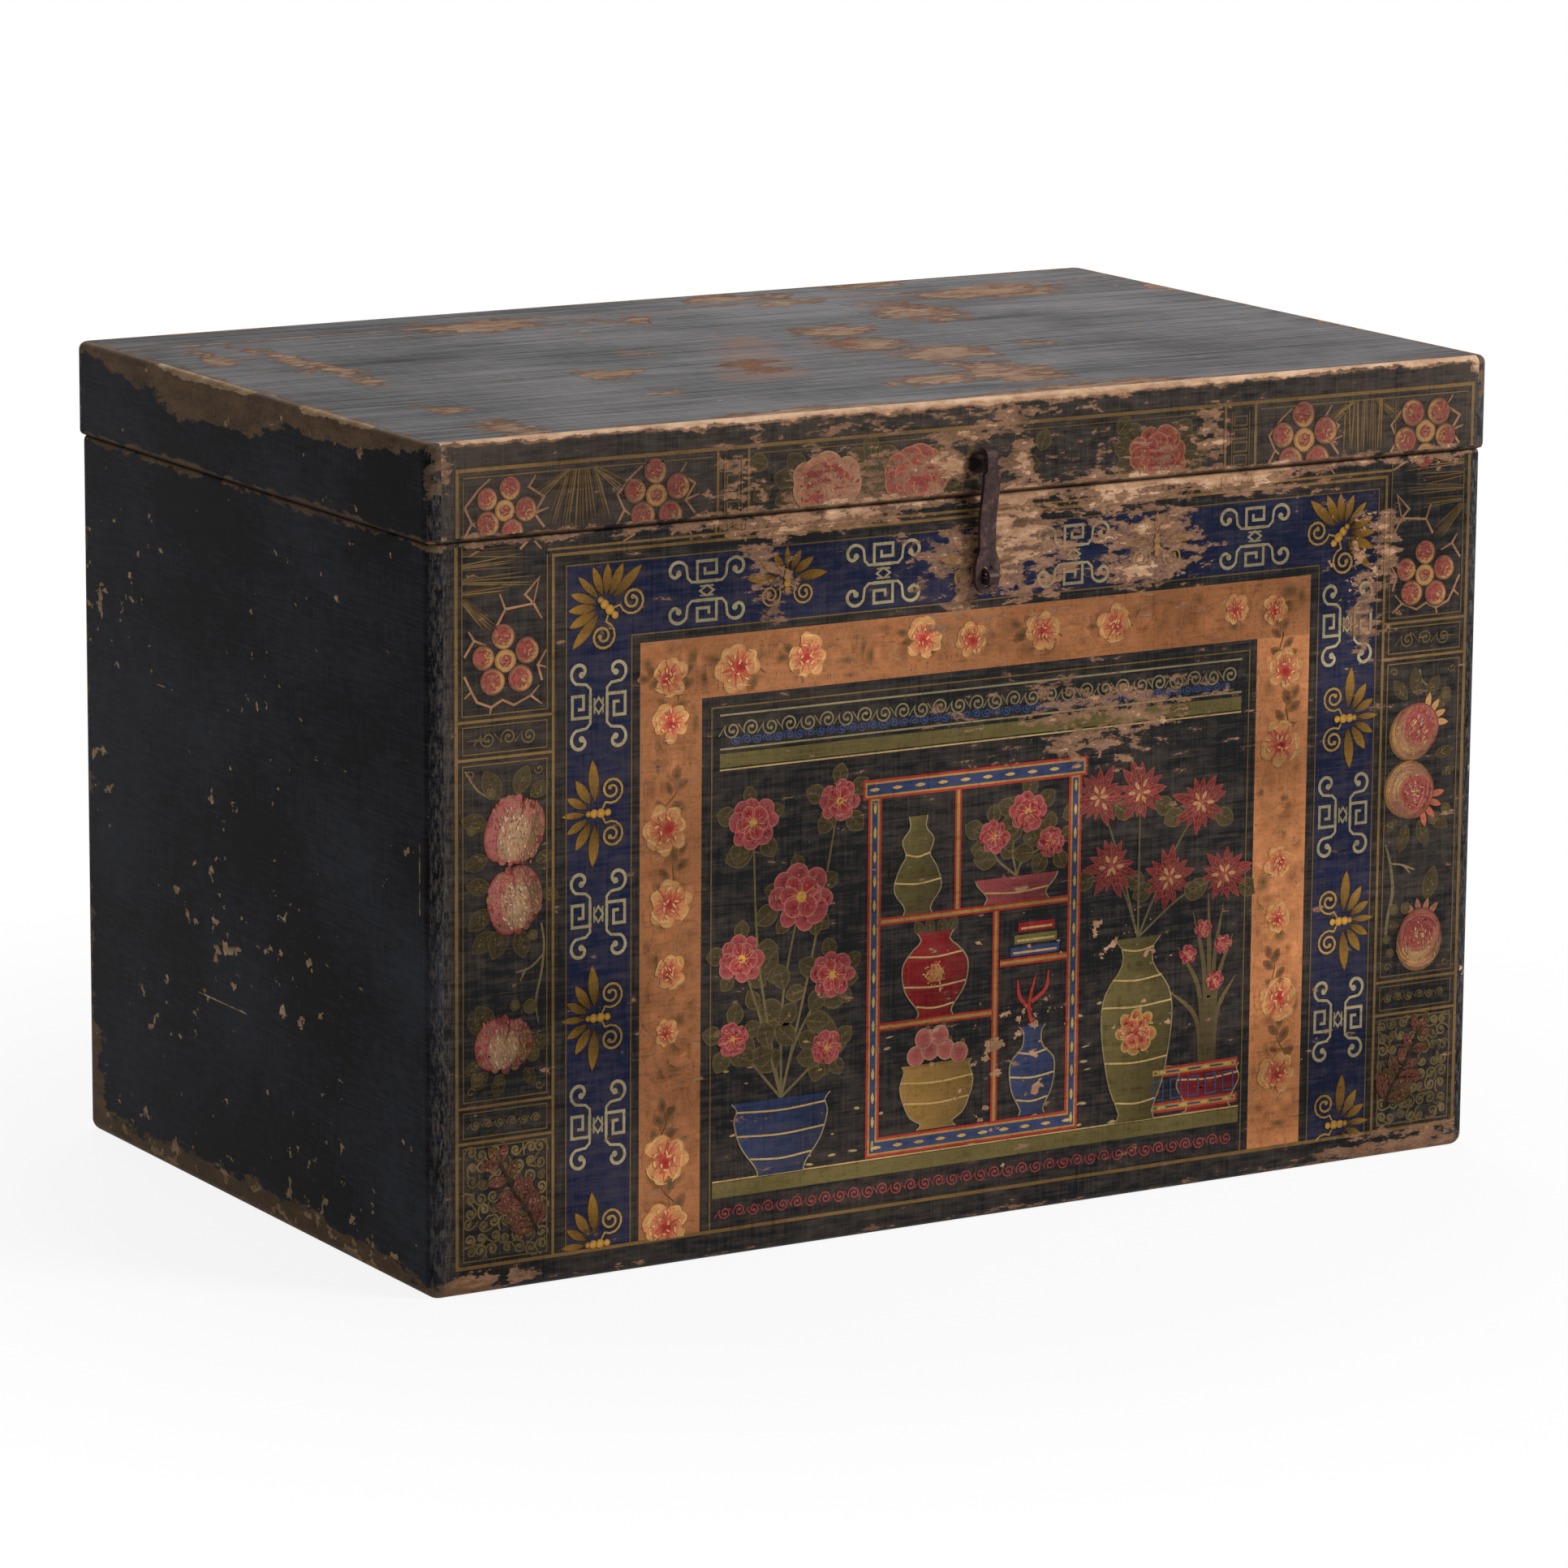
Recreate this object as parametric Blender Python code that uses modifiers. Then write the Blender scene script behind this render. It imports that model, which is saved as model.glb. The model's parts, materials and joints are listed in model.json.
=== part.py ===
"""A painted wooden storage chest: dovetailed walls, a framed lid on loop hinges and an iron hasp.

Lengths are in metres and +Z is up. The front faces -Y, and the origin is on the floor under
the middle of the box. The lid swings on two pairs of iron loops behind the back wall, and
the hasp hangs on a staple in the front of the lid.
"""
import math

import bmesh
import bpy
from mathutils import Matrix, Vector

# Clearance between neighbouring pieces
CLEAR = 0.0003

# The box, from the floor up to the rim
BOX_WIDTH = 0.800
BOX_DEPTH = 0.500
BOX_HEIGHT = 0.4825
WALL = 0.018
WALL_JOINT = 0.2415
SIDE_ROUND = 0.009
FOOT_ROUND = 0.008
RIM_ROUND = 0.004

# Bottom planks, held in a groove round the inside of the walls
PLANK_THICK = 0.012
PLANK_RAISE = 0.010
PLANK_COUNT = 3
GROOVE_DEPTH = 0.007

# The lid: four rails with two boards on top
LID_HEIGHT = 0.0622
LID_OVERHANG = 0.002
LID_TOP_THICK = 0.016
LID_REAR_BOARD = 0.058
LID_TOP_ROUND = 0.005
LID_FOOT_ROUND = 0.003

# Dovetails at the corners
TAIL_PITCH = 0.080
TAIL_WIDTH = 0.042
TAIL_SLOPE = 1 / 6
LID_TAIL_WIDTH = 0.021

# Pegs that pin the lid's boards to the rails
PEG_RADIUS = 0.0025
PEG_LENGTH = 0.040
PEG_INSET = 0.050
PEGS_ALONG = 4
PEGS_ACROSS = 2

# Dowels in the edge joints of the boards
DOWEL_RADIUS = 0.003
DOWEL_LENGTH = 0.050
DOWEL_INSET = 0.120
DOWELS_ALONG = 3
DOWELS_ACROSS = 2
LID_DOWEL_RADIUS = 0.0025
LID_DOWEL_LENGTH = 0.036

# Iron wire: hinge loops and staples, with legs clenched on the inside
WIRE = 0.0016
WIRE_BEND = 0.003
CLENCH = 0.011
LEG_GAP = 0.0002
THROAT = 0.0015

# Hinges: an eye in the back wall, and a loop in the lid whose bar turns in it
HINGE_FROM_MIDDLE = 0.260
HINGE_DROP = 0.016
HINGE_OUT = 0.0095
HINGE_RISE = 0.012
HINGE_SPREAD = 0.0055
HINGE_PLAY = 0.0008

# Hasp: a strap rolled round a staple in the lid, over a lock staple in the front wall
HASP_RISE = 0.026
HASP_OUT = 0.0085
HASP_SPREAD = 0.0068
HASP_PLAY = 0.0005
STRAP_WIDTH = 0.012
STRAP_THICK = 0.003
STRAP_REACH = 0.078
STRAP_SET = 0.001
STRAP_NECK = 0.0076
NECK_DROP = 0.0090
NECK_SHOULDER = 0.0018
STRAP_CRANK_TOP = 0.016
STRAP_CRANK_END = 0.042
STRAP_CRANK_BEND = 0.030
STRAP_RIM = 0.0046
STRAP_SHOULDER = 0.010
LOCK_WIDTH = 0.007
LOCK_THICK = 0.0026
LOCK_EYE = 0.0026
LOCK_PLAY = 0.0006
SLOT_PLAY_ACROSS = 0.0011
SLOT_PLAY_ALONG = 0.0021

# Faces of a round: fillets, arcs of wire, and pegs
ROUND_STEPS = 4
ARC_STEP = math.radians(22.5)
PEG_SIDES = 16
CUT_MARGIN = 0.002

# Sizes that follow
LID_WIDTH = BOX_WIDTH + 2 * LID_OVERHANG
LID_DEPTH = BOX_DEPTH + 2 * LID_OVERHANG
LID_FOOT = BOX_HEIGHT + CLEAR
LID_TOP = LID_FOOT + LID_HEIGHT
RAIL_TOP = LID_TOP - LID_TOP_THICK - CLEAR
LID_JOINT = LID_DEPTH / 2 - LID_REAR_BOARD
CLENCH_BEND = WIRE + CLEAR
HINGE_AXIS = Vector((0, BOX_DEPTH / 2 + HINGE_OUT, BOX_HEIGHT - HINGE_DROP))
HASP_AXIS = Vector((0, -LID_DEPTH / 2 - HASP_OUT, LID_FOOT + HASP_RISE))
ROLL_RADIUS = WIRE + HASP_PLAY + STRAP_THICK / 2
LOCK_HEIGHT = HASP_AXIS.z - STRAP_REACH
STRAP_FRONT = HASP_AXIS.y + STRAP_SET - STRAP_THICK / 2
LOCK_OUT = -BOX_DEPTH / 2 - STRAP_FRONT + LOCK_PLAY + LOCK_EYE
SLOT_WIDTH = LOCK_WIDTH + 2 * SLOT_PLAY_ACROSS
SLOT_LENGTH = 2 * (LOCK_EYE + LOCK_THICK + SLOT_PLAY_ALONG)

# Turns from a flat outline to the plane that it stands in
FACING_FRONT = (math.pi / 2, 0, 0)
FACING_SIDE = (math.pi / 2, 0, math.pi / 2)


def new_collection(name):
    """A collection in the scene."""
    group = bpy.data.collections.new(name)
    bpy.context.scene.collection.children.link(group)
    return group


def new_material(name, colour, roughness, metallic):
    """A plain Principled BSDF material."""
    made = bpy.data.materials.new(name)
    made.use_nodes = True
    shader = made.node_tree.nodes["Principled BSDF"]
    shader.inputs["Base Color"].default_value = (*colour, 1)
    shader.inputs["Roughness"].default_value = roughness
    shader.inputs["Metallic"].default_value = metallic
    return made


def keep(obj, name, group, surface=None):
    """Name an object and move it into a collection, with its material."""
    obj.name = name
    obj.data.name = name
    for old in list(obj.users_collection):
        old.objects.unlink(obj)
    group.objects.link(obj)
    if surface:
        obj.data.materials.clear()
        obj.data.materials.append(surface.copy())
        obj.data.materials[0].name = name
    return obj


def hide(cutter):
    """Keep a cutter out of the object."""
    cutter.hide_render = True
    cutter.display_type = "WIRE"
    return cutter


def block(low, high):
    """A box between two corners, its origin at its middle."""
    low, high = Vector(low), Vector(high)
    bpy.ops.mesh.primitive_cube_add(size=1, location=(low + high) / 2)
    obj = bpy.context.object
    obj.scale = high - low
    bpy.ops.object.transform_apply(location=False, rotation=False, scale=True)
    return obj


def rounded_block(low, high, side_round, top_round, foot_round):
    """A box whose upright, top and foot edges are rounded by different radii."""
    obj = block(low, high)
    largest = max(side_round, top_round, foot_round)
    weights = obj.data.attributes.new("bevel_weight_edge", "FLOAT", "EDGE")
    for edge in obj.data.edges:
        heights = [obj.data.vertices[index].co.z for index in edge.vertices]
        if heights[0] * heights[1] < 0:
            radius = side_round
        elif heights[0] > 0:
            radius = top_round
        else:
            radius = foot_round
        weights.data[edge.index].value = radius / largest
    bevel = obj.modifiers.new("worn edges", "BEVEL")
    bevel.limit_method = "WEIGHT"
    bevel.width = largest
    bevel.segments = ROUND_STEPS
    return obj


def as_mesh(curve):
    """Turn a curve object into a mesh object with welded caps, in the same place."""
    graph = bpy.context.evaluated_depsgraph_get()
    data = bpy.data.meshes.new_from_object(curve.evaluated_get(graph))
    work = bmesh.new()
    work.from_mesh(data)
    bmesh.ops.remove_doubles(work, verts=work.verts, dist=1e-6)
    bmesh.ops.recalc_face_normals(work, faces=work.faces)
    work.to_mesh(data)
    work.free()
    obj = bpy.data.objects.new(curve.name, data)
    bpy.context.scene.collection.objects.link(obj)
    obj.matrix_world = curve.matrix_world
    bpy.data.objects.remove(curve)
    return obj


def new_curve(splines, dimensions, closed):
    """A curve object with one straight-sided spline for each list of points."""
    data = bpy.data.curves.new("outline", "CURVE")
    data.dimensions = dimensions
    for points in splines:
        spline = data.splines.new("POLY")
        spline.points.add(len(points) - 1)
        for point, place in zip(spline.points, points):
            point.co = (*Vector(place).to_3d(), 1)
        spline.use_cyclic_u = closed
    obj = bpy.data.objects.new("outline", data)
    bpy.context.scene.collection.objects.link(obj)
    return obj


def extruded(outlines, thickness, turn, location):
    """Solid plates with the given flat outlines, centred on a location."""
    obj = new_curve(outlines, "2D", True)
    obj.data.fill_mode = "BOTH"
    obj.data.extrude = thickness / 2
    obj.rotation_euler = turn
    obj.location = location
    bpy.context.view_layer.update()
    return as_mesh(obj)


def wire_rod(points, radius):
    """A round wire with closed ends along a line of points."""
    obj = new_curve([points], "3D", False)
    obj.data.bevel_depth = radius
    obj.data.bevel_resolution = 2
    obj.data.use_fill_caps = True
    bpy.context.view_layer.update()
    made = as_mesh(obj)
    made.data.shade_smooth()
    made.data.set_sharp_from_angle(angle=math.radians(40))
    return made


def rods(ends, radius):
    """Round cutters between pairs of points, all in one object."""
    work = bmesh.new()
    for start, end in ends:
        start, end = Vector(start), Vector(end)
        along = end - start
        turn = along.to_track_quat("Z", "Y").to_matrix().to_4x4()
        bmesh.ops.create_cone(
            work,
            cap_ends=True,
            segments=PEG_SIDES,
            radius1=radius,
            radius2=radius,
            depth=along.length,
            matrix=Matrix.Translation((start + end) / 2) @ turn,
        )
    data = bpy.data.meshes.new("rods")
    work.to_mesh(data)
    work.free()
    obj = bpy.data.objects.new("rods", data)
    bpy.context.scene.collection.objects.link(obj)
    return obj


def rod(start, end, radius):
    """One peg or dowel, its origin at its middle."""
    start, end = Vector(start), Vector(end)
    along = end - start
    bpy.ops.mesh.primitive_cylinder_add(
        vertices=PEG_SIDES,
        radius=radius,
        depth=along.length,
        location=(start + end) / 2,
        rotation=along.to_track_quat("Z", "Y").to_euler(),
    )
    obj = bpy.context.object
    obj.data.shade_smooth()
    obj.data.set_sharp_from_angle(angle=math.radians(40))
    return obj


def cut(obj, cutter, operation="DIFFERENCE"):
    """Add a Boolean modifier to an object."""
    boolean = obj.modifiers.new(f"{operation.lower()} {cutter.name}", "BOOLEAN")
    boolean.operation = operation
    boolean.object = cutter


def spread(count, span):
    """Places at even distances over a span, centred on zero."""
    if count == 1:
        return [0.0]
    return [span * (index / (count - 1) - 0.5) for index in range(count)]


def arc(middle, radius, start, end):
    """Points of a flat arc between two angles."""
    steps = max(2, math.ceil(abs(end - start) / ARC_STEP))
    angles = [start + (end - start) * step / steps for step in range(steps + 1)]
    return [middle + radius * Vector((math.cos(angle), math.sin(angle))) for angle in angles]


def bent(corners, radii):
    """A line through corners, each inner corner turned into an arc of its own radius."""
    corners = [Vector(corner) for corner in corners]
    line = [corners[0]]
    for before, corner, after, radius in zip(corners, corners[1:], corners[2:], radii):
        back = (before - corner).normalized()
        ahead = (after - corner).normalized()
        half = back.angle(ahead) / 2
        middle = corner + (back + ahead).normalized() * radius / math.sin(half)
        start = corner + back * radius / math.tan(half) - middle
        end = corner + ahead * radius / math.tan(half) - middle
        sweep = math.pi - 2 * half
        steps = max(2, math.ceil(sweep / ARC_STEP))
        for step in range(steps + 1):
            near = math.sin(sweep * (1 - step / steps)) / math.sin(sweep)
            far = math.sin(sweep * step / steps) / math.sin(sweep)
            line.append(middle + start * near + end * far)
    return line + [corners[-1]]


def tails(low, high, width, pitch):
    """Middle heights and root width of the dovetails on a board between two heights."""
    count = max(1, round((high - low) / pitch))
    step = (high - low) / count
    return [(low + step * (index + 0.5), width) for index in range(count)]


def tail_edge(length, low, high, board_tails):
    """Outline of a board seen from the front, with dovetails at both ends."""
    end = length / 2
    root = end - WALL - CLEAR
    flare = TAIL_SLOPE * (end - root)
    right = [(root, low)]
    for middle, width in board_tails:
        half = width / 2
        right.append((root, middle - half))
        right.append((end, middle - half - flare))
        right.append((end, middle + half + flare))
        right.append((root, middle + half))
    right.append((root, high))
    return right + [(-x, z) for x, z in reversed(right)]


def sockets(length, board_tails):
    """Outlines of the gaps that the dovetails leave in the boards at both ends."""
    end = length / 2
    root = end - WALL - CLEAR
    inner = end - WALL - CUT_MARGIN
    outer = end + CUT_MARGIN
    gaps = []
    for middle, width in board_tails:
        half = width / 2 + CLEAR
        narrow = half + TAIL_SLOPE * (inner - root)
        wide = half + TAIL_SLOPE * (outer - root)
        for side in (1, -1):
            gaps.append([
                (side * inner, middle - narrow),
                (side * outer, middle - wide),
                (side * outer, middle + wide),
                (side * inner, middle + narrow),
            ])
    return gaps


def socket_cutters(name, length, depth, board_tails, group):
    """Cutters for the sockets along the front and back edges of the end boards."""
    reach = WALL + CLEAR + CUT_MARGIN
    middle = depth / 2 + CUT_MARGIN - reach / 2
    made = []
    for word, side in (("front", -1), ("back", 1)):
        cutter = extruded(sockets(length, board_tails), reach, FACING_FRONT, (0, side * middle, 0))
        made.append(hide(keep(cutter, f"{name}_{word}_sockets", group)))
    return made


def eye_wire(out, eye, radius):
    """A split staple's line in a plane: outward from the wall's face, and up.

    The legs run side by side through the wall, spread to a round eye outside it, and are
    clenched apart inside.
    """
    leg = radius + LEG_GAP
    inside = -WALL - radius - CLEAR
    ring = eye + radius
    far = Vector((out - THROAT, leg)).length
    tangent = math.pi - math.atan2(leg, out - THROAT) - math.acos(ring / far)
    loop = arc(Vector((out, 0)), ring, tangent, -tangent)
    turn = radius + CLEAR
    upper = bent([(inside, leg + CLENCH), (inside, leg), (THROAT, leg), loop[0]], [turn, turn])
    lower = [Vector((point.x, -point.y)) for point in reversed(upper)]
    return upper + loop[1:-1] + lower


def eye_slot(x, face, side, height, radius, half_width):
    """Low and high corners of the hole for both legs of a split staple."""
    across = half_width + CLEAR
    up = 2 * radius + LEG_GAP + CLEAR
    ends = sorted((face + side * CUT_MARGIN, face - side * (WALL + CUT_MARGIN)))
    return (x - across, ends[0], height - up), (x + across, ends[1], height + up)


def wall_boards(parts, cutters, wood, dark_wood):
    """Front, back, left and right walls, each of a lower and an upper board."""
    half_width, half_depth = BOX_WIDTH / 2, BOX_DEPTH / 2
    levels = {"lower": (0, WALL_JOINT), "upper": (WALL_JOINT + CLEAR, BOX_HEIGHT)}
    envelope = hide(keep(
        rounded_block((-half_width, -half_depth, 0), (half_width, half_depth, BOX_HEIGHT),
                      SIDE_ROUND, RIM_ROUND, FOOT_ROUND),
        "box_envelope", cutters))
    groove_x = half_width - WALL + GROOVE_DEPTH
    groove_y = half_depth - WALL + GROOVE_DEPTH
    groove = hide(keep(
        block((-groove_x, -groove_y, PLANK_RAISE - CLEAR),
              (groove_x, groove_y, PLANK_RAISE + PLANK_THICK + CLEAR)),
        "plank_groove", cutters))
    along, across = wall_dowel_places()
    bores = hide(keep(
        rods([dowel_ends(x, y, CLEAR) for x, y in along + across], DOWEL_RADIUS + CLEAR),
        "dowel_bores", cutters))
    lock_hole = hide(keep(
        block(*eye_slot(0, -half_depth, -1, LOCK_HEIGHT, LOCK_THICK / 2, LOCK_WIDTH / 2)),
        "lock_hole", cutters))
    hinge_holes = [
        hide(keep(block(*eye_slot(x, half_depth, 1, HINGE_AXIS.z, WIRE, WIRE)), f"{name}_eye_hole", cutters))
        for name, x in hinges()
    ]
    made = {}
    for level, (low, high) in levels.items():
        board_tails = tails(low, high, TAIL_WIDTH, TAIL_PITCH)
        outline = tail_edge(BOX_WIDTH, low, high, board_tails)
        gaps = socket_cutters(f"{level}_wall", BOX_WIDTH, BOX_DEPTH, board_tails, cutters)
        for word, side in (("front", -1), ("back", 1)):
            middle = (0, side * (half_depth - WALL / 2), 0)
            board = extruded([outline], WALL, FACING_FRONT, middle)
            made[word, level] = keep(board, f"{word}_board_{level}", parts, wood)
        for word, side in (("left", -1), ("right", 1)):
            faces = sorted((side * half_width, side * (half_width - WALL)))
            board = block((faces[0], -half_depth, low), (faces[1], half_depth, high))
            made[word, level] = keep(board, f"{word}_board_{level}", parts, dark_wood)
            for gap in gaps:
                cut(board, gap)
    for (word, level), board in made.items():
        cut(board, bores)
        cut(board, envelope, "INTERSECT")
        if level == "lower":
            cut(board, groove)
    cut(made["front", "upper"], lock_hole)
    for hole in hinge_holes:
        cut(made["back", "upper"], hole)


def wall_dowel_places():
    """Places of the dowels in the front and back walls, and in the end walls."""
    middle_y = BOX_DEPTH / 2 - WALL / 2
    middle_x = BOX_WIDTH / 2 - WALL / 2
    along = [
        (x, side * middle_y)
        for side in (-1, 1)
        for x in spread(DOWELS_ALONG, BOX_WIDTH - 2 * DOWEL_INSET)
    ]
    across = [
        (side * middle_x, y)
        for side in (-1, 1)
        for y in spread(DOWELS_ACROSS, BOX_DEPTH - 2 * DOWEL_INSET)
    ]
    return along, across


def dowel_ends(x, y, extra):
    """Both ends of an upright dowel in a wall's edge joint."""
    middle = WALL_JOINT + CLEAR / 2
    reach = DOWEL_LENGTH / 2 + extra
    return (x, y, middle - reach), (x, y, middle + reach)


def wall_dowels(parts, bamboo):
    """The dowels that hold each wall's two boards edge to edge."""
    along, across = wall_dowel_places()
    for number, (x, y) in enumerate(along + across, 1):
        keep(rod(*dowel_ends(x, y, 0), DOWEL_RADIUS), f"wall_dowel_{number}", parts, bamboo)


def bottom_planks(parts, wood):
    """Planks that lie side by side in the walls' groove."""
    half_x = BOX_WIDTH / 2 - WALL + GROOVE_DEPTH - CLEAR
    half_y = BOX_DEPTH / 2 - WALL + GROOVE_DEPTH - CLEAR
    step = 2 * half_y / PLANK_COUNT
    for number in range(PLANK_COUNT):
        low = -half_y + step * number + CLEAR / 2
        high = low + step - CLEAR
        plank = block((-half_x, low, PLANK_RAISE), (half_x, high, PLANK_RAISE + PLANK_THICK))
        keep(plank, f"bottom_plank_{number + 1}", parts, wood)


def lid_peg_places():
    """Places of the pegs along the rails of the lid, seen from above."""
    rail_x = LID_WIDTH / 2 - WALL / 2
    rail_y = LID_DEPTH / 2 - WALL / 2
    along = [
        (x, side * rail_y)
        for side in (-1, 1)
        for x in spread(PEGS_ALONG, LID_WIDTH - 2 * PEG_INSET)
    ]
    front_board = LID_DEPTH - LID_REAR_BOARD
    middle = -LID_DEPTH / 2 + front_board / 2
    across = [
        (side * rail_x, middle + y)
        for side in (-1, 1)
        for y in spread(PEGS_ACROSS, front_board - 4 * PEG_INSET)
    ]
    return along + across


def peg_ends(x, y, above, below):
    """Both ends of an upright peg through the lid's top."""
    top = LID_TOP - CLEAR
    return (x, y, top - PEG_LENGTH - below), (x, y, top + above)


def lid_dowel_ends(x, extra):
    """Both ends of a dowel across the joint of the lid's top boards."""
    height = LID_TOP - LID_TOP_THICK / 2
    reach = LID_DOWEL_LENGTH / 2 + extra
    return (x, LID_JOINT - reach, height), (x, LID_JOINT + reach, height)


def lid_boards(parts, cutters, wood, dark_wood):
    """The lid's four rails and two top boards."""
    half_width, half_depth = LID_WIDTH / 2, LID_DEPTH / 2
    envelope = hide(keep(
        rounded_block((-half_width, -half_depth, LID_FOOT), (half_width, half_depth, LID_TOP),
                      SIDE_ROUND, LID_TOP_ROUND, LID_FOOT_ROUND),
        "lid_envelope", cutters))
    peg_bores = hide(keep(
        rods([peg_ends(x, y, CUT_MARGIN, CLEAR) for x, y in lid_peg_places()], PEG_RADIUS + CLEAR),
        "peg_bores", cutters))
    dowel_places = spread(DOWELS_ALONG, LID_WIDTH - 2 * DOWEL_INSET)
    dowel_bores = hide(keep(
        rods([lid_dowel_ends(x, CLEAR) for x in dowel_places], LID_DOWEL_RADIUS + CLEAR),
        "lid_dowel_bores", cutters))
    leg_bores = hide(keep(rods(staple_legs(), WIRE + CLEAR), "staple_bores", cutters))

    height = RAIL_TOP - LID_FOOT
    rail_tails = tails(LID_FOOT, RAIL_TOP, LID_TAIL_WIDTH, height)
    outline = tail_edge(LID_WIDTH, LID_FOOT, RAIL_TOP, rail_tails)
    gaps = socket_cutters("lid", LID_WIDTH, LID_DEPTH, rail_tails, cutters)
    boards = []
    for word, side in (("front", -1), ("back", 1)):
        rail = extruded([outline], WALL, FACING_FRONT, (0, side * (half_depth - WALL / 2), 0))
        boards.append(keep(rail, f"lid_{word}_rail", parts, wood))
        cut(rail, leg_bores)
    for word, side in (("left", -1), ("right", 1)):
        faces = sorted((side * half_width, side * (half_width - WALL)))
        rail = block((faces[0], -half_depth, LID_FOOT), (faces[1], half_depth, RAIL_TOP))
        boards.append(keep(rail, f"lid_{word}_rail", parts, dark_wood))
        for gap in gaps:
            cut(rail, gap)
    top = LID_TOP - LID_TOP_THICK
    front = block((-half_width, -half_depth, top), (half_width, LID_JOINT - CLEAR / 2, LID_TOP))
    rear = block((-half_width, LID_JOINT + CLEAR / 2, top), (half_width, half_depth, LID_TOP))
    for word, board in (("front", front), ("rear", rear)):
        boards.append(keep(board, f"lid_top_{word}_board", parts, wood))
        cut(board, dowel_bores)
    for board in boards:
        cut(board, peg_bores)
        cut(board, envelope, "INTERSECT")
    return boards


def lid_pins(parts, bamboo):
    """Pegs from the top boards into the rails, and dowels between the top boards."""
    pins = []
    for number, (x, y) in enumerate(lid_peg_places(), 1):
        pins.append(keep(rod(*peg_ends(x, y, 0, 0), PEG_RADIUS), f"lid_peg_{number}", parts, bamboo))
    places = spread(DOWELS_ALONG, LID_WIDTH - 2 * DOWEL_INSET)
    for number, x in enumerate(places, 1):
        dowel = rod(*lid_dowel_ends(x, 0), LID_DOWEL_RADIUS)
        pins.append(keep(dowel, f"lid_dowel_{number}", parts, bamboo))
    return pins


def hinges():
    """Names and places of the two hinges."""
    return (("left_hinge", -HINGE_FROM_MIDDLE), ("right_hinge", HINGE_FROM_MIDDLE))


def staple_legs():
    """Lines of the holes through the lid's rails for the legs of its three staples."""
    lines = []
    for _, middle in hinges():
        lines += leg_lines(middle, HINGE_SPREAD, LID_DEPTH / 2, 1, LID_FOOT + HINGE_RISE)
    lines += leg_lines(0, HASP_SPREAD, -LID_DEPTH / 2, -1, HASP_AXIS.z)
    return lines


def leg_lines(middle, reach, face, side, height):
    """Lines right through a rail for a staple's two legs."""
    outer = face + side * CUT_MARGIN
    inner = face - side * (WALL + CUT_MARGIN)
    return [((middle + x, inner, height), (middle + x, outer, height)) for x in (-reach, reach)]


def hinge_eyes(parts, iron):
    """A split staple through the back wall for each hinge, its eye round the lid's axis."""
    for name, x in hinges():
        face = BOX_DEPTH / 2
        line = eye_wire(HINGE_OUT, WIRE + HINGE_PLAY, WIRE)
        points = [(x, face + out, HINGE_AXIS.z + up) for out, up in line]
        keep(wire_rod(points, WIRE), f"{name}_eye", parts, iron)


def hinge_loops(parts, iron):
    """A loop for each hinge: a bar in the eye, arms up to the lid, and legs through its rail."""
    made = []
    inside = LID_DEPTH / 2 - WALL - WIRE - CLEAR
    leg_height = LID_FOOT + HINGE_RISE
    for name, middle in hinges():
        right = [
            (middle + HINGE_SPREAD, HINGE_AXIS.y, HINGE_AXIS.z),
            (middle + HINGE_SPREAD, HINGE_AXIS.y, leg_height),
            (middle + HINGE_SPREAD, inside, leg_height),
            (middle + HINGE_SPREAD + CLENCH, inside, leg_height),
        ]
        left = [(2 * middle - x, y, z) for x, y, z in reversed(right)]
        turns = [CLENCH_BEND] + 4 * [WIRE_BEND] + [CLENCH_BEND]
        loop = wire_rod(bent(left + right, turns), WIRE)
        made.append(keep(loop, f"{name}_loop", parts, iron))
    return made


def hasp_staple(parts, iron):
    """The staple in the lid's front that the hasp hangs on."""
    inside = -LID_DEPTH / 2 + WALL + WIRE + CLEAR
    right = [
        (HASP_SPREAD, HASP_AXIS.y, HASP_AXIS.z),
        (HASP_SPREAD, inside, HASP_AXIS.z),
        (HASP_SPREAD + CLENCH, inside, HASP_AXIS.z),
    ]
    left = [(-x, y, z) for x, y, z in reversed(right)]
    turns = [CLENCH_BEND, WIRE_BEND, WIRE_BEND, CLENCH_BEND]
    return keep(wire_rod(bent(left + right, turns), WIRE), "hasp_staple", parts, iron)


def lock_staple(parts, iron):
    """The split staple of flat iron in the front wall whose eye stands through the hasp's slot."""
    line = [Vector((-out, up)) for out, up in eye_wire(LOCK_OUT, LOCK_EYE, LOCK_THICK / 2)]
    place = (0, -BOX_DEPTH / 2, LOCK_HEIGHT)
    staple = extruded([ribbon(line, LOCK_THICK)], LOCK_WIDTH, FACING_SIDE, place)
    keep(staple, "lock_staple", parts, iron)


def ribbon(line, thickness):
    """Outline of a bent strip with its middle along a line."""
    sides = []
    for side in (1, -1):
        edge = []
        for index, point in enumerate(line):
            ahead = line[min(index + 1, len(line) - 1)] - line[max(index - 1, 0)]
            normal = Vector((-ahead.y, ahead.x)).normalized()
            edge.append(point + normal * side * thickness / 2)
        sides.append(edge)
    return sides[0] + sides[1][::-1]


def rounded_slot(width, length):
    """Outline of an upright slot with round ends, centred on zero."""
    reach = (length - width) / 2
    upper = arc(Vector((0, reach)), width / 2, 0, math.pi)
    lower = arc(Vector((0, -reach)), width / 2, math.pi, 2 * math.pi)
    return upper + lower


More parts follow.
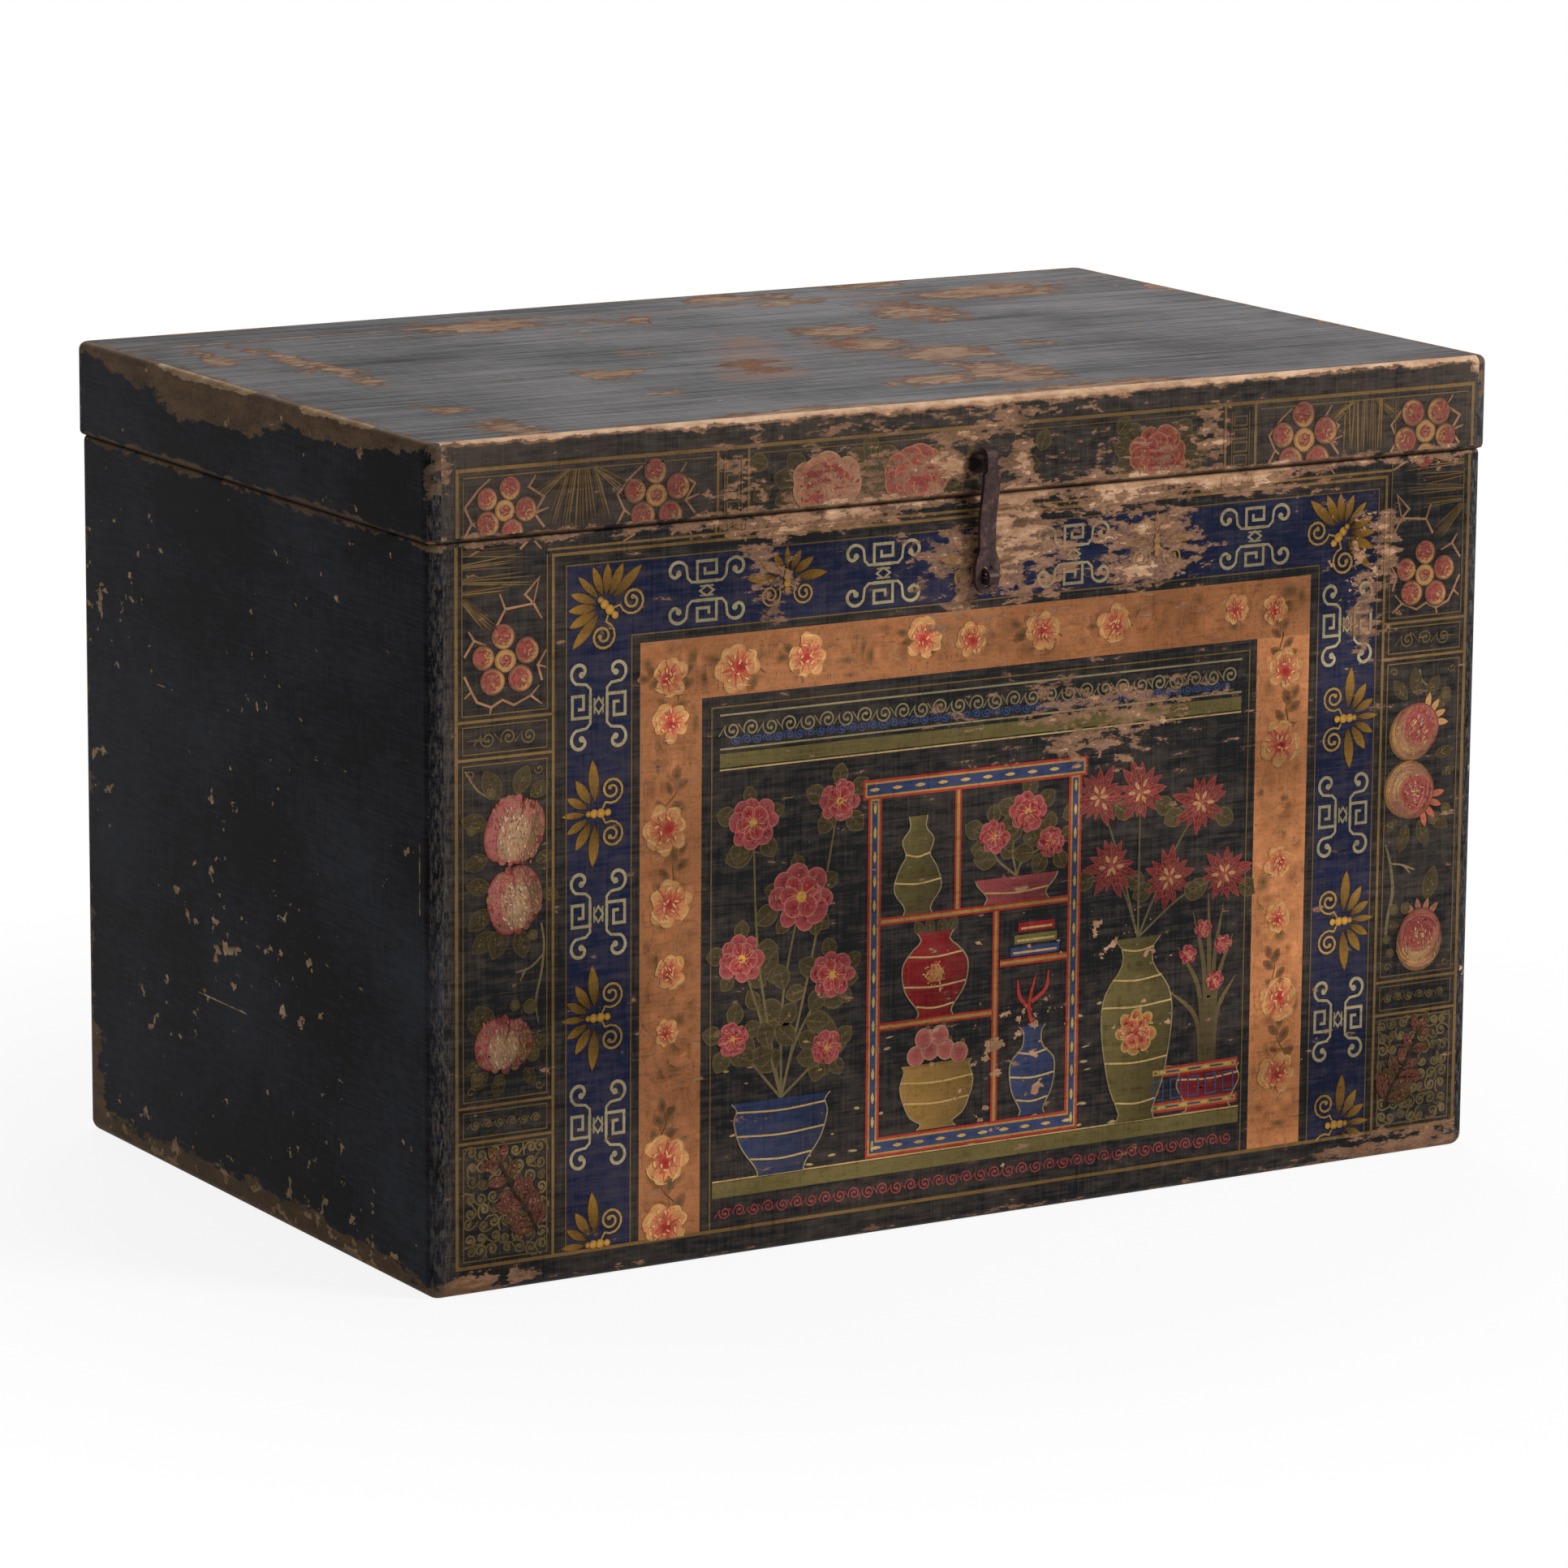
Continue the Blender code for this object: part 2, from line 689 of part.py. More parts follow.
def hasp_strap(parts, cutters, iron):
    """The hasp's strap: its neck rolled round the staple, cranked in, with a slotted round end."""
    end = SLOT_WIDTH / 2 + STRAP_RIM
    foot_middle = -STRAP_REACH - (SLOT_LENGTH - SLOT_WIDTH) / 2
    roll = arc(Vector((0, 0)), ROLL_RADIUS, -math.pi / 2, math.pi)
    hang = bent([
        (-ROLL_RADIUS, 0),
        (-ROLL_RADIUS, -STRAP_CRANK_TOP),
        (STRAP_SET, -STRAP_CRANK_END),
        (STRAP_SET, foot_middle - end - CUT_MARGIN),
    ], [STRAP_CRANK_BEND, STRAP_CRANK_BEND])
    strip = extruded([ribbon(roll + hang[1:], STRAP_THICK)], 2 * end + CUT_MARGIN, FACING_SIDE, HASP_AXIS)
    strap = keep(strip, "hasp_strap", parts, iron)

    half = STRAP_WIDTH / 2
    top = ROLL_RADIUS + STRAP_THICK
    shoulder = -STRAP_REACH + SLOT_LENGTH / 2
    foot = arc(Vector((0, foot_middle)), end, math.pi, 2 * math.pi)
    neck = STRAP_NECK / 2
    right = [
        (end, shoulder),
        (half, shoulder + STRAP_SHOULDER),
        (half, -NECK_DROP - NECK_SHOULDER),
        (neck, -NECK_DROP),
        (neck, top),
    ]
    face = foot + right + [(-x, up) for x, up in reversed(right)]
    depth = 4 * ROLL_RADIUS + 2 * STRAP_THICK
    face_cutter = hide(keep(extruded([face], depth, FACING_FRONT, HASP_AXIS), "strap_face", cutters))
    cut(strap, face_cutter, "INTERSECT")
    slot_place = HASP_AXIS - Vector((0, 0, STRAP_REACH))
    slot = extruded([rounded_slot(SLOT_WIDTH, SLOT_LENGTH)], depth, FACING_FRONT, slot_place)
    cut(strap, hide(keep(slot, "strap_slot", cutters)))
    return strap


def axis_empty(name, place, group):
    """An empty on a joint's axis, to carry what turns about it."""
    empty = bpy.data.objects.new(name, None)
    empty.location = place
    group.objects.link(empty)
    bpy.context.view_layer.update()
    return empty


def carry(empty, pieces):
    """Parent pieces to an empty and leave them where they are."""
    bpy.context.view_layer.update()
    for piece in pieces:
        piece.parent = empty
        piece.matrix_parent_inverse = empty.matrix_world.inverted()


def build():
    """Model the chest in an empty scene."""
    for old in list(bpy.data.objects):
        bpy.data.objects.remove(old, do_unlink=True)
    parts = new_collection("painted_chest")
    cutters = new_collection("cutters")
    wood = new_material("pine", (0.33, 0.21, 0.12), 0.7, 0)
    dark_wood = new_material("lacquered pine", (0.03, 0.032, 0.04), 0.55, 0)
    bamboo = new_material("bamboo", (0.50, 0.36, 0.20), 0.6, 0)
    iron = new_material("wrought iron", (0.06, 0.05, 0.045), 0.5, 1)

    wall_boards(parts, cutters, wood, dark_wood)
    wall_dowels(parts, bamboo)
    bottom_planks(parts, wood)
    hinge_eyes(parts, iron)
    lock_staple(parts, iron)

    lid_axis = axis_empty("lid_axis", HINGE_AXIS, parts)
    carry(lid_axis, lid_boards(parts, cutters, wood, dark_wood))
    carry(lid_axis, lid_pins(parts, bamboo))
    carry(lid_axis, hinge_loops(parts, iron))
    carry(lid_axis, [hasp_staple(parts, iron)])

    hasp_axis = axis_empty("hasp_axis", HASP_AXIS, parts)
    carry(hasp_axis, [hasp_strap(parts, cutters, iron)])
    carry(lid_axis, [hasp_axis])


build()
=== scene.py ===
# %% [markdown]
# # A painted wooden chest
# The boards, pegs and iron come from the imported CAD model, which is loaded as a fixed frame.
# This script adds what a joiner's solids lack: the lacquer skin that hides the joints, the
# painted ornament on the front, and the rubbed, chipped finish of an old chest.

# %% Load the frame
import json
import math
import random

import bpy
import numpy as np
from mathutils import Matrix, Vector

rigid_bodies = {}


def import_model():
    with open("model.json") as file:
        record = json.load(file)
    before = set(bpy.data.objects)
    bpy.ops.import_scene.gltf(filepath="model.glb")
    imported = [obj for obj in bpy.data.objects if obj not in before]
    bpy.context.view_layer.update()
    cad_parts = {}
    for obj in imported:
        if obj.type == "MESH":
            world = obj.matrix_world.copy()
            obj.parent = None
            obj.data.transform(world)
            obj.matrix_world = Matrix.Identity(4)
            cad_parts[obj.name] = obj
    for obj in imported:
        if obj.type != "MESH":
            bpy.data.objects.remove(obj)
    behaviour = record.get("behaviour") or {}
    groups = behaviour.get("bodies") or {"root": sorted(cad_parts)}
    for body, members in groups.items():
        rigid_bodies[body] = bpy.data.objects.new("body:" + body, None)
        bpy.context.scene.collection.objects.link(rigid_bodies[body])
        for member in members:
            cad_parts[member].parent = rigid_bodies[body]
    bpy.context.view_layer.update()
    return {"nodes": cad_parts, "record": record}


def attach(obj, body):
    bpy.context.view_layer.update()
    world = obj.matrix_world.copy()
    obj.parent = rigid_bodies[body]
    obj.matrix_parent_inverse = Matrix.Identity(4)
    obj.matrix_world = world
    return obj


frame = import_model()

# %% [markdown]
# ## Camera
# The photograph was taken from the front left, a little above the lid, with a long lens. A camera
# fitted to the chest's corners gives a turn, a rise and a slight roll, so the camera is set by
# those angles and not by aiming it at a point.

# %% Camera
TURN = math.radians(-30.929)
RISE = math.radians(11.785)
ROLL = math.radians(0.427)
LENS = 163.76
CAMERA_PLACE = (-2.4332, -4.0690, 1.2358)

backward = Vector((math.sin(TURN) * math.cos(RISE), -math.cos(TURN) * math.cos(RISE), math.sin(RISE)))
level_right = Vector((0, 0, 1)).cross(backward).normalized()
level_up = backward.cross(level_right)
right = level_right * math.cos(ROLL) + level_up * math.sin(ROLL)
up = level_up * math.cos(ROLL) - level_right * math.sin(ROLL)
bpy.ops.object.select_all(action="DESELECT")
bpy.ops.object.camera_add()
camera = bpy.context.object
camera.name = "studio_camera"
turned = Matrix((right, up, backward)).transposed().to_4x4()
camera.matrix_world = Matrix.Translation(CAMERA_PLACE) @ turned
camera.data.lens = LENS
camera.data.sensor_width = 36
bpy.context.scene.camera = camera
bpy.context.scene.view_settings.view_transform = "Standard"
print("camera", camera.name, "lens", LENS)

# %% [markdown]
# ## A way to write shaders
# Finishes are mixed from masks, and masks are sums and products of noise. Written node by node
# that is hard to read, so one small class wraps a socket: its operators add Math nodes, and `make`
# adds any other node.

# %% Sockets with operators
class Shade:
    """One output socket in a material. Sums and products of it add Math nodes to its tree."""

    def __init__(self, tree, socket=None):
        self.tree = tree
        self.socket = socket

    def make(self, kind, settings=None, out=0, **links):
        node = self.tree.nodes.new("ShaderNode" + kind)
        for key, value in (settings or {}).items():
            if key == "stops":
                ramp = node.color_ramp.elements
                while len(ramp) < len(value):
                    ramp.new(0.5)
                for element, (place, colour) in zip(ramp, value):
                    element.position = place
                    element.color = colour
            else:
                setattr(node, key, value)
        for key, value in links.items():
            number = key[1:]
            socket = node.inputs[int(number) if number.isdigit() else key.replace("_", " ")]
            if isinstance(value, Shade):
                self.tree.links.new(value.socket, socket)
            else:
                socket.default_value = value
        return Shade(self.tree, node.outputs[out] if node.outputs else None)

    def math(self, operation, first, second=0.0):
        return self.make("Math", {"operation": operation}, n0=first, n1=second)

    def __add__(self, other):
        return self.math("ADD", self, other)

    def __radd__(self, other):
        return self.math("ADD", other, self)

    def __sub__(self, other):
        return self.math("SUBTRACT", self, other)

    def __rsub__(self, other):
        return self.math("SUBTRACT", other, self)

    def __mul__(self, other):
        return self.math("MULTIPLY", self, other)

    def __rmul__(self, other):
        return self.math("MULTIPLY", other, self)

    def __abs__(self):
        return self.math("ABSOLUTE", self)

    def most(self, other):
        return self.math("MAXIMUM", self, other)

    def least(self, other):
        return self.math("MINIMUM", self, other)

    def rise(self, low, high, bottom=0.0, top=1.0):
        """Goes from bottom to top while this value goes from low to high."""
        return self.make("MapRange", n0=self, n1=low, n2=high, n3=bottom, n4=top)

    def over(self, under, share):
        """This colour laid over another one, by a share from 0 to 1."""
        return self.make("Mix", {"data_type": "RGBA"}, out=2, n0=share, n6=under, n7=self)

    def tinted(self, colour):
        """This colour filtered by another one."""
        return self.make("VectorMath", {"operation": "MULTIPLY"}, n0=self, n1=colour)

    def toned(self, amount):
        """This colour made darker or lighter by a factor."""
        return self.tinted(self.make("CombineXYZ", n0=amount, n1=amount, n2=amount))


def hue(red, green, blue):
    """A colour as a picture shows it, 0 to 255, turned into the linear numbers that shaders use."""
    parts = [c / 255 for c in (red, green, blue)]
    return tuple([c / 12.92 if c < 0.04 else ((c + 0.055) / 1.055) ** 2.4 for c in parts] + [1.0])


def finish_named(name, roughness, specular):
    """An empty material, its Principled node and a first socket holder."""
    material = bpy.data.materials.new(name)
    material.use_nodes = True
    principled = material.node_tree.nodes["Principled BSDF"]
    principled.inputs["Roughness"].default_value = roughness
    principled.inputs["Specular IOR Level"].default_value = specular
    return material, principled, Shade(material.node_tree)


def into(principled, name, value):
    value.tree.links.new(value.socket, principled.inputs[name])


def axes_of(shade):
    """The place on the object, in metres, as three sockets."""
    place = shade.make("TexCoord", out=3)
    split = shade.make("SeparateXYZ", n0=place).socket.node.outputs
    return [Shade(shade.tree, split[n]) for n in range(3)]


print("sockets ready")

# %% [markdown]
# ## Studio
# A product shot: white floor, white surroundings, one large soft lamp to the right of the camera so
# that the front is brighter than the left side, and a weak one overhead. Far from the chest the
# floor turns to plain white for the camera, so there is no horizon, and close to it the floor
# keeps the soft shadow.

# %% Studio
WHITE = (1, 1, 1, 1)
FLOOR_SIZE = 24.0
AMBIENT = 0.27


def seen_directly(shade):
    """1 for what the camera, a reflection or a glass sees, 0 for the light on the object."""
    path = shade.make("LightPath")
    outs = path.socket.node.outputs
    rays = [Shade(shade.tree, outs[n]) for n in ("Is Camera Ray", "Is Glossy Ray", "Is Transmission Ray")]
    return rays[0].most(rays[1]).most(rays[2])


bpy.ops.object.select_all(action="DESELECT")
bpy.ops.mesh.primitive_plane_add(size=FLOOR_SIZE)
floor = bpy.context.object
floor.name = "studio_floor"
floor_paint = bpy.data.materials.new("studio_white")
floor_paint.use_nodes = True
floor_paint.node_tree.nodes.clear()
sheet_white = Shade(floor_paint.node_tree)
place = sheet_white.make("TexCoord", out=3)
away = sheet_white.make("VectorMath", {"operation": "LENGTH"}, out=1, n0=place).rise(0.5, 0.9, 0.88, 1.0)
lit = sheet_white.make("BsdfDiffuse", Color=(0.93, 0.93, 0.93, 1))
glow = sheet_white.make("Emission", Color=WHITE, Strength=1.0)
shown = sheet_white.make("MixShader", n0=away * seen_directly(sheet_white), n1=lit, n2=glow)
sheet_white.make("OutputMaterial", n0=shown)
floor.data.materials.append(floor_paint)

world = bpy.data.worlds.new("studio_white_room")
bpy.context.scene.world = world
world.use_nodes = True
world.node_tree.nodes.clear()
room = Shade(world.node_tree)
strength = seen_directly(room).rise(0, 1, AMBIENT, 1.0)
room.make("OutputWorld", n0=room.make("Background", Color=WHITE, Strength=strength))


def soft_lamp(name, place, aim, size, power):
    bpy.ops.object.light_add(type="AREA", location=place)
    lamp = bpy.context.object
    lamp.name = name
    lamp.data.size = size
    lamp.data.energy = power
    lamp.rotation_euler = (Vector(aim) - Vector(place)).to_track_quat("-Z", "Y").to_euler()
    print("lamp", name, power, "W")


soft_lamp("key_lamp", (2.0, -2.7, 2.3), (0, 0, 0.3), 1.2, 112)
soft_lamp("back_lamp", (0.8, 2.3, 2.4), (0, 0, 0.4), 2.0, 40)

# %% [markdown]
# ## Lacquer skin
# On the real chest cloth, ground and lacquer cover the joints, so no dovetail or board edge shows
# outside. Each skin is shaped like a joiner's block: a cube of the wall's outer size, its upright
# corners, foot and rim rounded with bevels, its open ends taken off. Then the block is cut into
# its faces, so that each one can be finished on its own, and Solidify gives the coat its thickness.

# %% Lacquer skin
COAT_GAP = 0.0001
COAT = 0.0003
ROUND_CUTS = 8
BOX_LOW = Vector((-0.400, -0.250, 0.0))
BOX_HIGH = Vector((0.400, 0.250, 0.4825))
LID_LOW = Vector((-0.402, -0.252, 0.4828))
LID_HIGH = Vector((0.402, 0.252, 0.5450))
CORNER_ROUND = 0.009
FOOT_ROUND = 0.008
RIM_ROUND = 0.004
LID_TOP_ROUND = 0.005
LID_FOOT_ROUND = 0.003


def take_up(piece):
    """Selects one piece alone and makes it the active one."""
    bpy.ops.object.select_all(action="DESELECT")
    piece.select_set(True)
    bpy.context.view_layer.objects.active = piece


def select_where(piece, kind, test):
    """Selects the piece's edges or faces that pass a test on their middle, and leaves the rest."""
    bpy.ops.mesh.select_all(action="DESELECT")
    bpy.ops.object.mode_set(mode="OBJECT")
    mesh = piece.data
    for part in mesh.edges if kind == "EDGE" else mesh.polygons:
        spots = [mesh.vertices[v].co for v in part.vertices]
        part.select = test(spots, part)
    bpy.ops.object.mode_set(mode="EDIT")


def rounded_block(name, low, high, foot, rim):
    """A cube of the outer size with its corners, foot and rim rounded, left in edit mode."""
    bpy.ops.object.select_all(action="DESELECT")
    bpy.ops.mesh.primitive_cube_add(size=1, location=(low + high) / 2, scale=high - low)
    block = bpy.context.object
    block.name = name
    bpy.ops.object.transform_apply(location=True, rotation=True, scale=True)
    bpy.ops.object.mode_set(mode="EDIT")
    bpy.ops.mesh.select_mode(type="EDGE")
    select_where(block, "EDGE", lambda s, e: abs(s[0].z - s[1].z) > 0.001)
    bpy.ops.mesh.bevel(offset=CORNER_ROUND, segments=ROUND_CUTS, affect="EDGES")
    for height, width in ((low.z, foot), (high.z, rim)):
        select_where(block, "EDGE", lambda s, e: all(abs(p.z - height) < 1e-6 for p in s))
        bpy.ops.mesh.bevel(offset=width, segments=ROUND_CUTS, affect="EDGES")
    bpy.ops.mesh.select_mode(type="FACE")
    return block


def cut_off(block, name, test):
    """Takes the faces that pass a test off the block as a piece of their own."""
    select_where(block, "FACE", test)
    before = set(bpy.data.objects)
    bpy.ops.mesh.separate(type="SELECTED")
    piece = (set(bpy.data.objects) - before).pop()
    piece.name = name
    return piece


def coat_faces(prefix, block, sides):
    """Cuts a block into its named sides, throws the rest away and thickens each side."""
    pieces = {}
    for side, test in sides.items():
        pieces[side] = cut_off(block, prefix + "_" + side + "_lacquer", test)
    bpy.ops.object.mode_set(mode="OBJECT")
    bpy.data.objects.remove(block)
    for piece in pieces.values():
        take_up(piece)
        coat = piece.modifiers.new("coat", "SOLIDIFY")
        coat.thickness = COAT
        coat.offset = 1
        coat.use_even_offset = True
        bpy.ops.object.modifier_apply(modifier=coat.name)
        bpy.ops.object.shade_smooth_by_angle(angle=math.radians(35))
        print(piece.name, len(piece.data.polygons), "faces")
    return pieces


def facing(axis, sign, least=0.02):
    return lambda spots, face: face.normal[axis] * sign > least


gap = Vector((COAT_GAP, COAT_GAP, 0))
box_block = rounded_block("box_block", BOX_LOW - gap, BOX_HIGH + gap, FOOT_ROUND, RIM_ROUND)
select_where(box_block, "FACE", lambda s, f: abs(f.normal.z) > 0.999)
bpy.ops.mesh.delete(type="FACE")
bpy.ops.mesh.select_all(action="DESELECT")
box_skin = coat_faces("box", box_block, {
    "left": facing(0, -1), "right": facing(0, 1), "front": facing(1, -1, 0), "back": facing(1, 1, 0)})

lid_gap = Vector((COAT_GAP, COAT_GAP, COAT_GAP))
lid_block = rounded_block("lid_block", LID_LOW - gap, LID_HIGH + lid_gap, LID_FOOT_ROUND, LID_TOP_ROUND)
select_where(lid_block, "FACE", lambda s, f: f.normal.z < -0.999)
bpy.ops.mesh.delete(type="FACE")
lid_skin = coat_faces("lid", lid_block, {
    "top": lambda s, f: f.normal.z > 0.999,
    "left": facing(0, -1), "right": facing(0, 1), "front": facing(1, -1, 0), "back": facing(1, 1, 0)})
for piece in box_skin.values():
    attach(piece, "box")
for piece in lid_skin.values():
    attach(piece, "lid")

# %% [markdown]
# ## Aged finish
# One recipe ages every painted face. A noise drawn out along the grain, roughened by a finer one,
# is pushed over two limits near the edges and in the places where hands, keys and feet have
# rubbed. Past the first limit the paint is scuffed down to its brown undercoat, past the second
# the wood is bare. A rubbed patch is an oval whose outline a second noise pushes about, so that
# none looks round. The colours are those of the real finish in its layers: lacquer, undercoat, wood
# and what has settled on them, and besides them some painted shade, shadow and sheen.

# %% Colours and rubbed patches
LACQUER = hue(24, 24, 25)
LACQUER_SIDE = hue(16, 16, 19)
# The top's lacquer is lighter than the front's, partly a painted sheen.
LACQUER_TOP_AND_SHEEN = hue(80, 78, 80)
WOOD_DARK = hue(108, 77, 54)
WOOD = hue(166, 127, 98)
WOOD_PALE = hue(220, 184, 152)
UNDERCOAT = hue(132, 98, 75)
UNDERCOAT_SIDE = hue(108, 85, 64)
UNDERCOAT_TOP = hue(128, 94, 72)
# Painted shade: the dark line in the seam between lid and box, and the hasp's shadows on the front.
PAINTED_SHADE = hue(18, 14, 13)
RUSTY = hue(120, 80, 56)
GRIT = hue(104, 96, 90)
GRIME = hue(212, 198, 178)
DUST = hue(106, 90, 77)
# The sides' film is bluish grey: dust, and partly a painted sheen.
DUST_AND_SHEEN_SIDE = hue(72, 74, 82)
DUST_TOP = hue(118, 112, 110)
SCUFF_LIMIT = 0.70
WEAR_LIMIT = 0.85
HALF_WIDTH = 0.402
HALF_DEPTH = 0.252
SEAM_HEIGHT = 0.4827
# Height of the painted shade line in the seam between lid and box.
SEAM_SHADE_HEIGHT = 0.4830
TOP_JOINT = 0.1935
RIM_START, RIM_END = 0.5405, 0.5448


def stretched(shade, along, across, depth, scales):
    parts = [value * scale for value, scale in zip((along, across, depth), scales)]
    return shade.make("CombineXYZ", n0=parts[0], n1=parts[1], n2=parts[2])


def noise(shade, where, detail=6.0, rough=0.6):
    return shade.make("TexNoise", Vector=where, Scale=1.0, Detail=detail, Roughness=rough)


def rubbed(shade, along, across, patches, sway=None, reach=(0, 0)):
    """The largest of the rubbed patches: middle and half size in millimetres, then how far gone.
    sway is a noise colour that pushes their outlines about, by up to half of reach in metres."""
    worst = None
    spot = shade.make("CombineXYZ", n0=along, n1=across)
    if sway:
        spot = shade.make("VectorMath", {"operation": "MULTIPLY_ADD"}, n0=sway, n1=(*reach, 0), n2=spot)
    for middle_x, middle_y, half_x, half_y, gone in patches.values():
        size = (1000 / half_x, 1000 / half_y, 0)
        shift = (-(middle_x + 500 * reach[0]) / half_x, -(middle_y + 500 * reach[1]) / half_y, 0)
        near = shade.make("VectorMath", {"operation": "MULTIPLY_ADD"}, n0=spot, n1=size, n2=shift)
        patch = shade.make("VectorMath", {"operation": "LENGTH"}, out=1, n0=near).rise(1.0, 0.3, 0.0, gone)
        worst = patch if worst is None else worst.most(patch)
    return worst


def plain(shade, colour):
    """A colour that is the same all over, as a socket to mix with."""
    made = shade.make("RGB")
    made.socket.default_value = colour
    return made


print("scuffed from", SCUFF_LIMIT, "and bare from", WEAR_LIMIT)

# %% [markdown]
# ## The recipe
# The layers are mixed from the wood up: bare wood, brown undercoat, the coat with its brush lines
# and the weave of the cloth under it, a film of dust that on the sides is partly a painted sheen, a
# painted shade along the seam, grit on the turned edges, and at last painted shadows of the hasp on
# the front and a rusty stain on the top. As painted light, the top is made lighter towards its right
# end and the sides towards their top. Small chips come from a rounder noise. The front, the sides
# and the top
# differ in how coarse and how deep each layer is, so those amounts stand in a table by face.
# Because the recipe reads Object coordinates, a worn patch runs on from the lacquer skin through
# the ornament that lies on it.

# %% The recipe
# The front's stain colour is painted shadow round the hasp; the top's is a real rusty spill.
FACES = {
    "front": {"drift": (20, 52, 20), "ragged": 0.9, "flecks": 0.14, "bare": 0.02, "rim": 0.20,
              "brush": (22, 420, 22), "lines": 0.2, "cloud": 0.4, "film": 0.3, "sway": (0.05, 0.016),
              "wood": (1, 1, 1), "stain": PAINTED_SHADE, "undercoat": UNDERCOAT, "dust_and_sheen": DUST,
              "specular": 0.06, "coat": 0.0},
    "side": {"drift": (24, 60, 24), "ragged": 0.42, "flecks": 0.1, "bare": 0.5, "rim": 0.03,
             "brush": (22, 420, 22), "lines": 0.4, "cloud": 0.7, "film": 0.45, "sway": (0.06, 0.03),
             "wood": (1.1, 1.32, 1.34), "undercoat": UNDERCOAT_SIDE, "dust_and_sheen": DUST_AND_SHEEN_SIDE,
             "specular": 0.025, "coat": 0.0},
    "top": {"drift": (26, 34, 26), "ragged": 0.6, "flecks": 0.14, "bare": -0.03, "rim": 0.15,
            "brush": (7, 190, 7), "lines": 0.5, "cloud": 0.3, "film": 0.3, "sway": (0.09, 0.07),
            "wood": (0.58, 0.60, 0.66), "stain": RUSTY, "undercoat": UNDERCOAT_TOP, "dust_and_sheen": DUST_TOP,
            "specular": 0.0, "coat": 0.18},
}


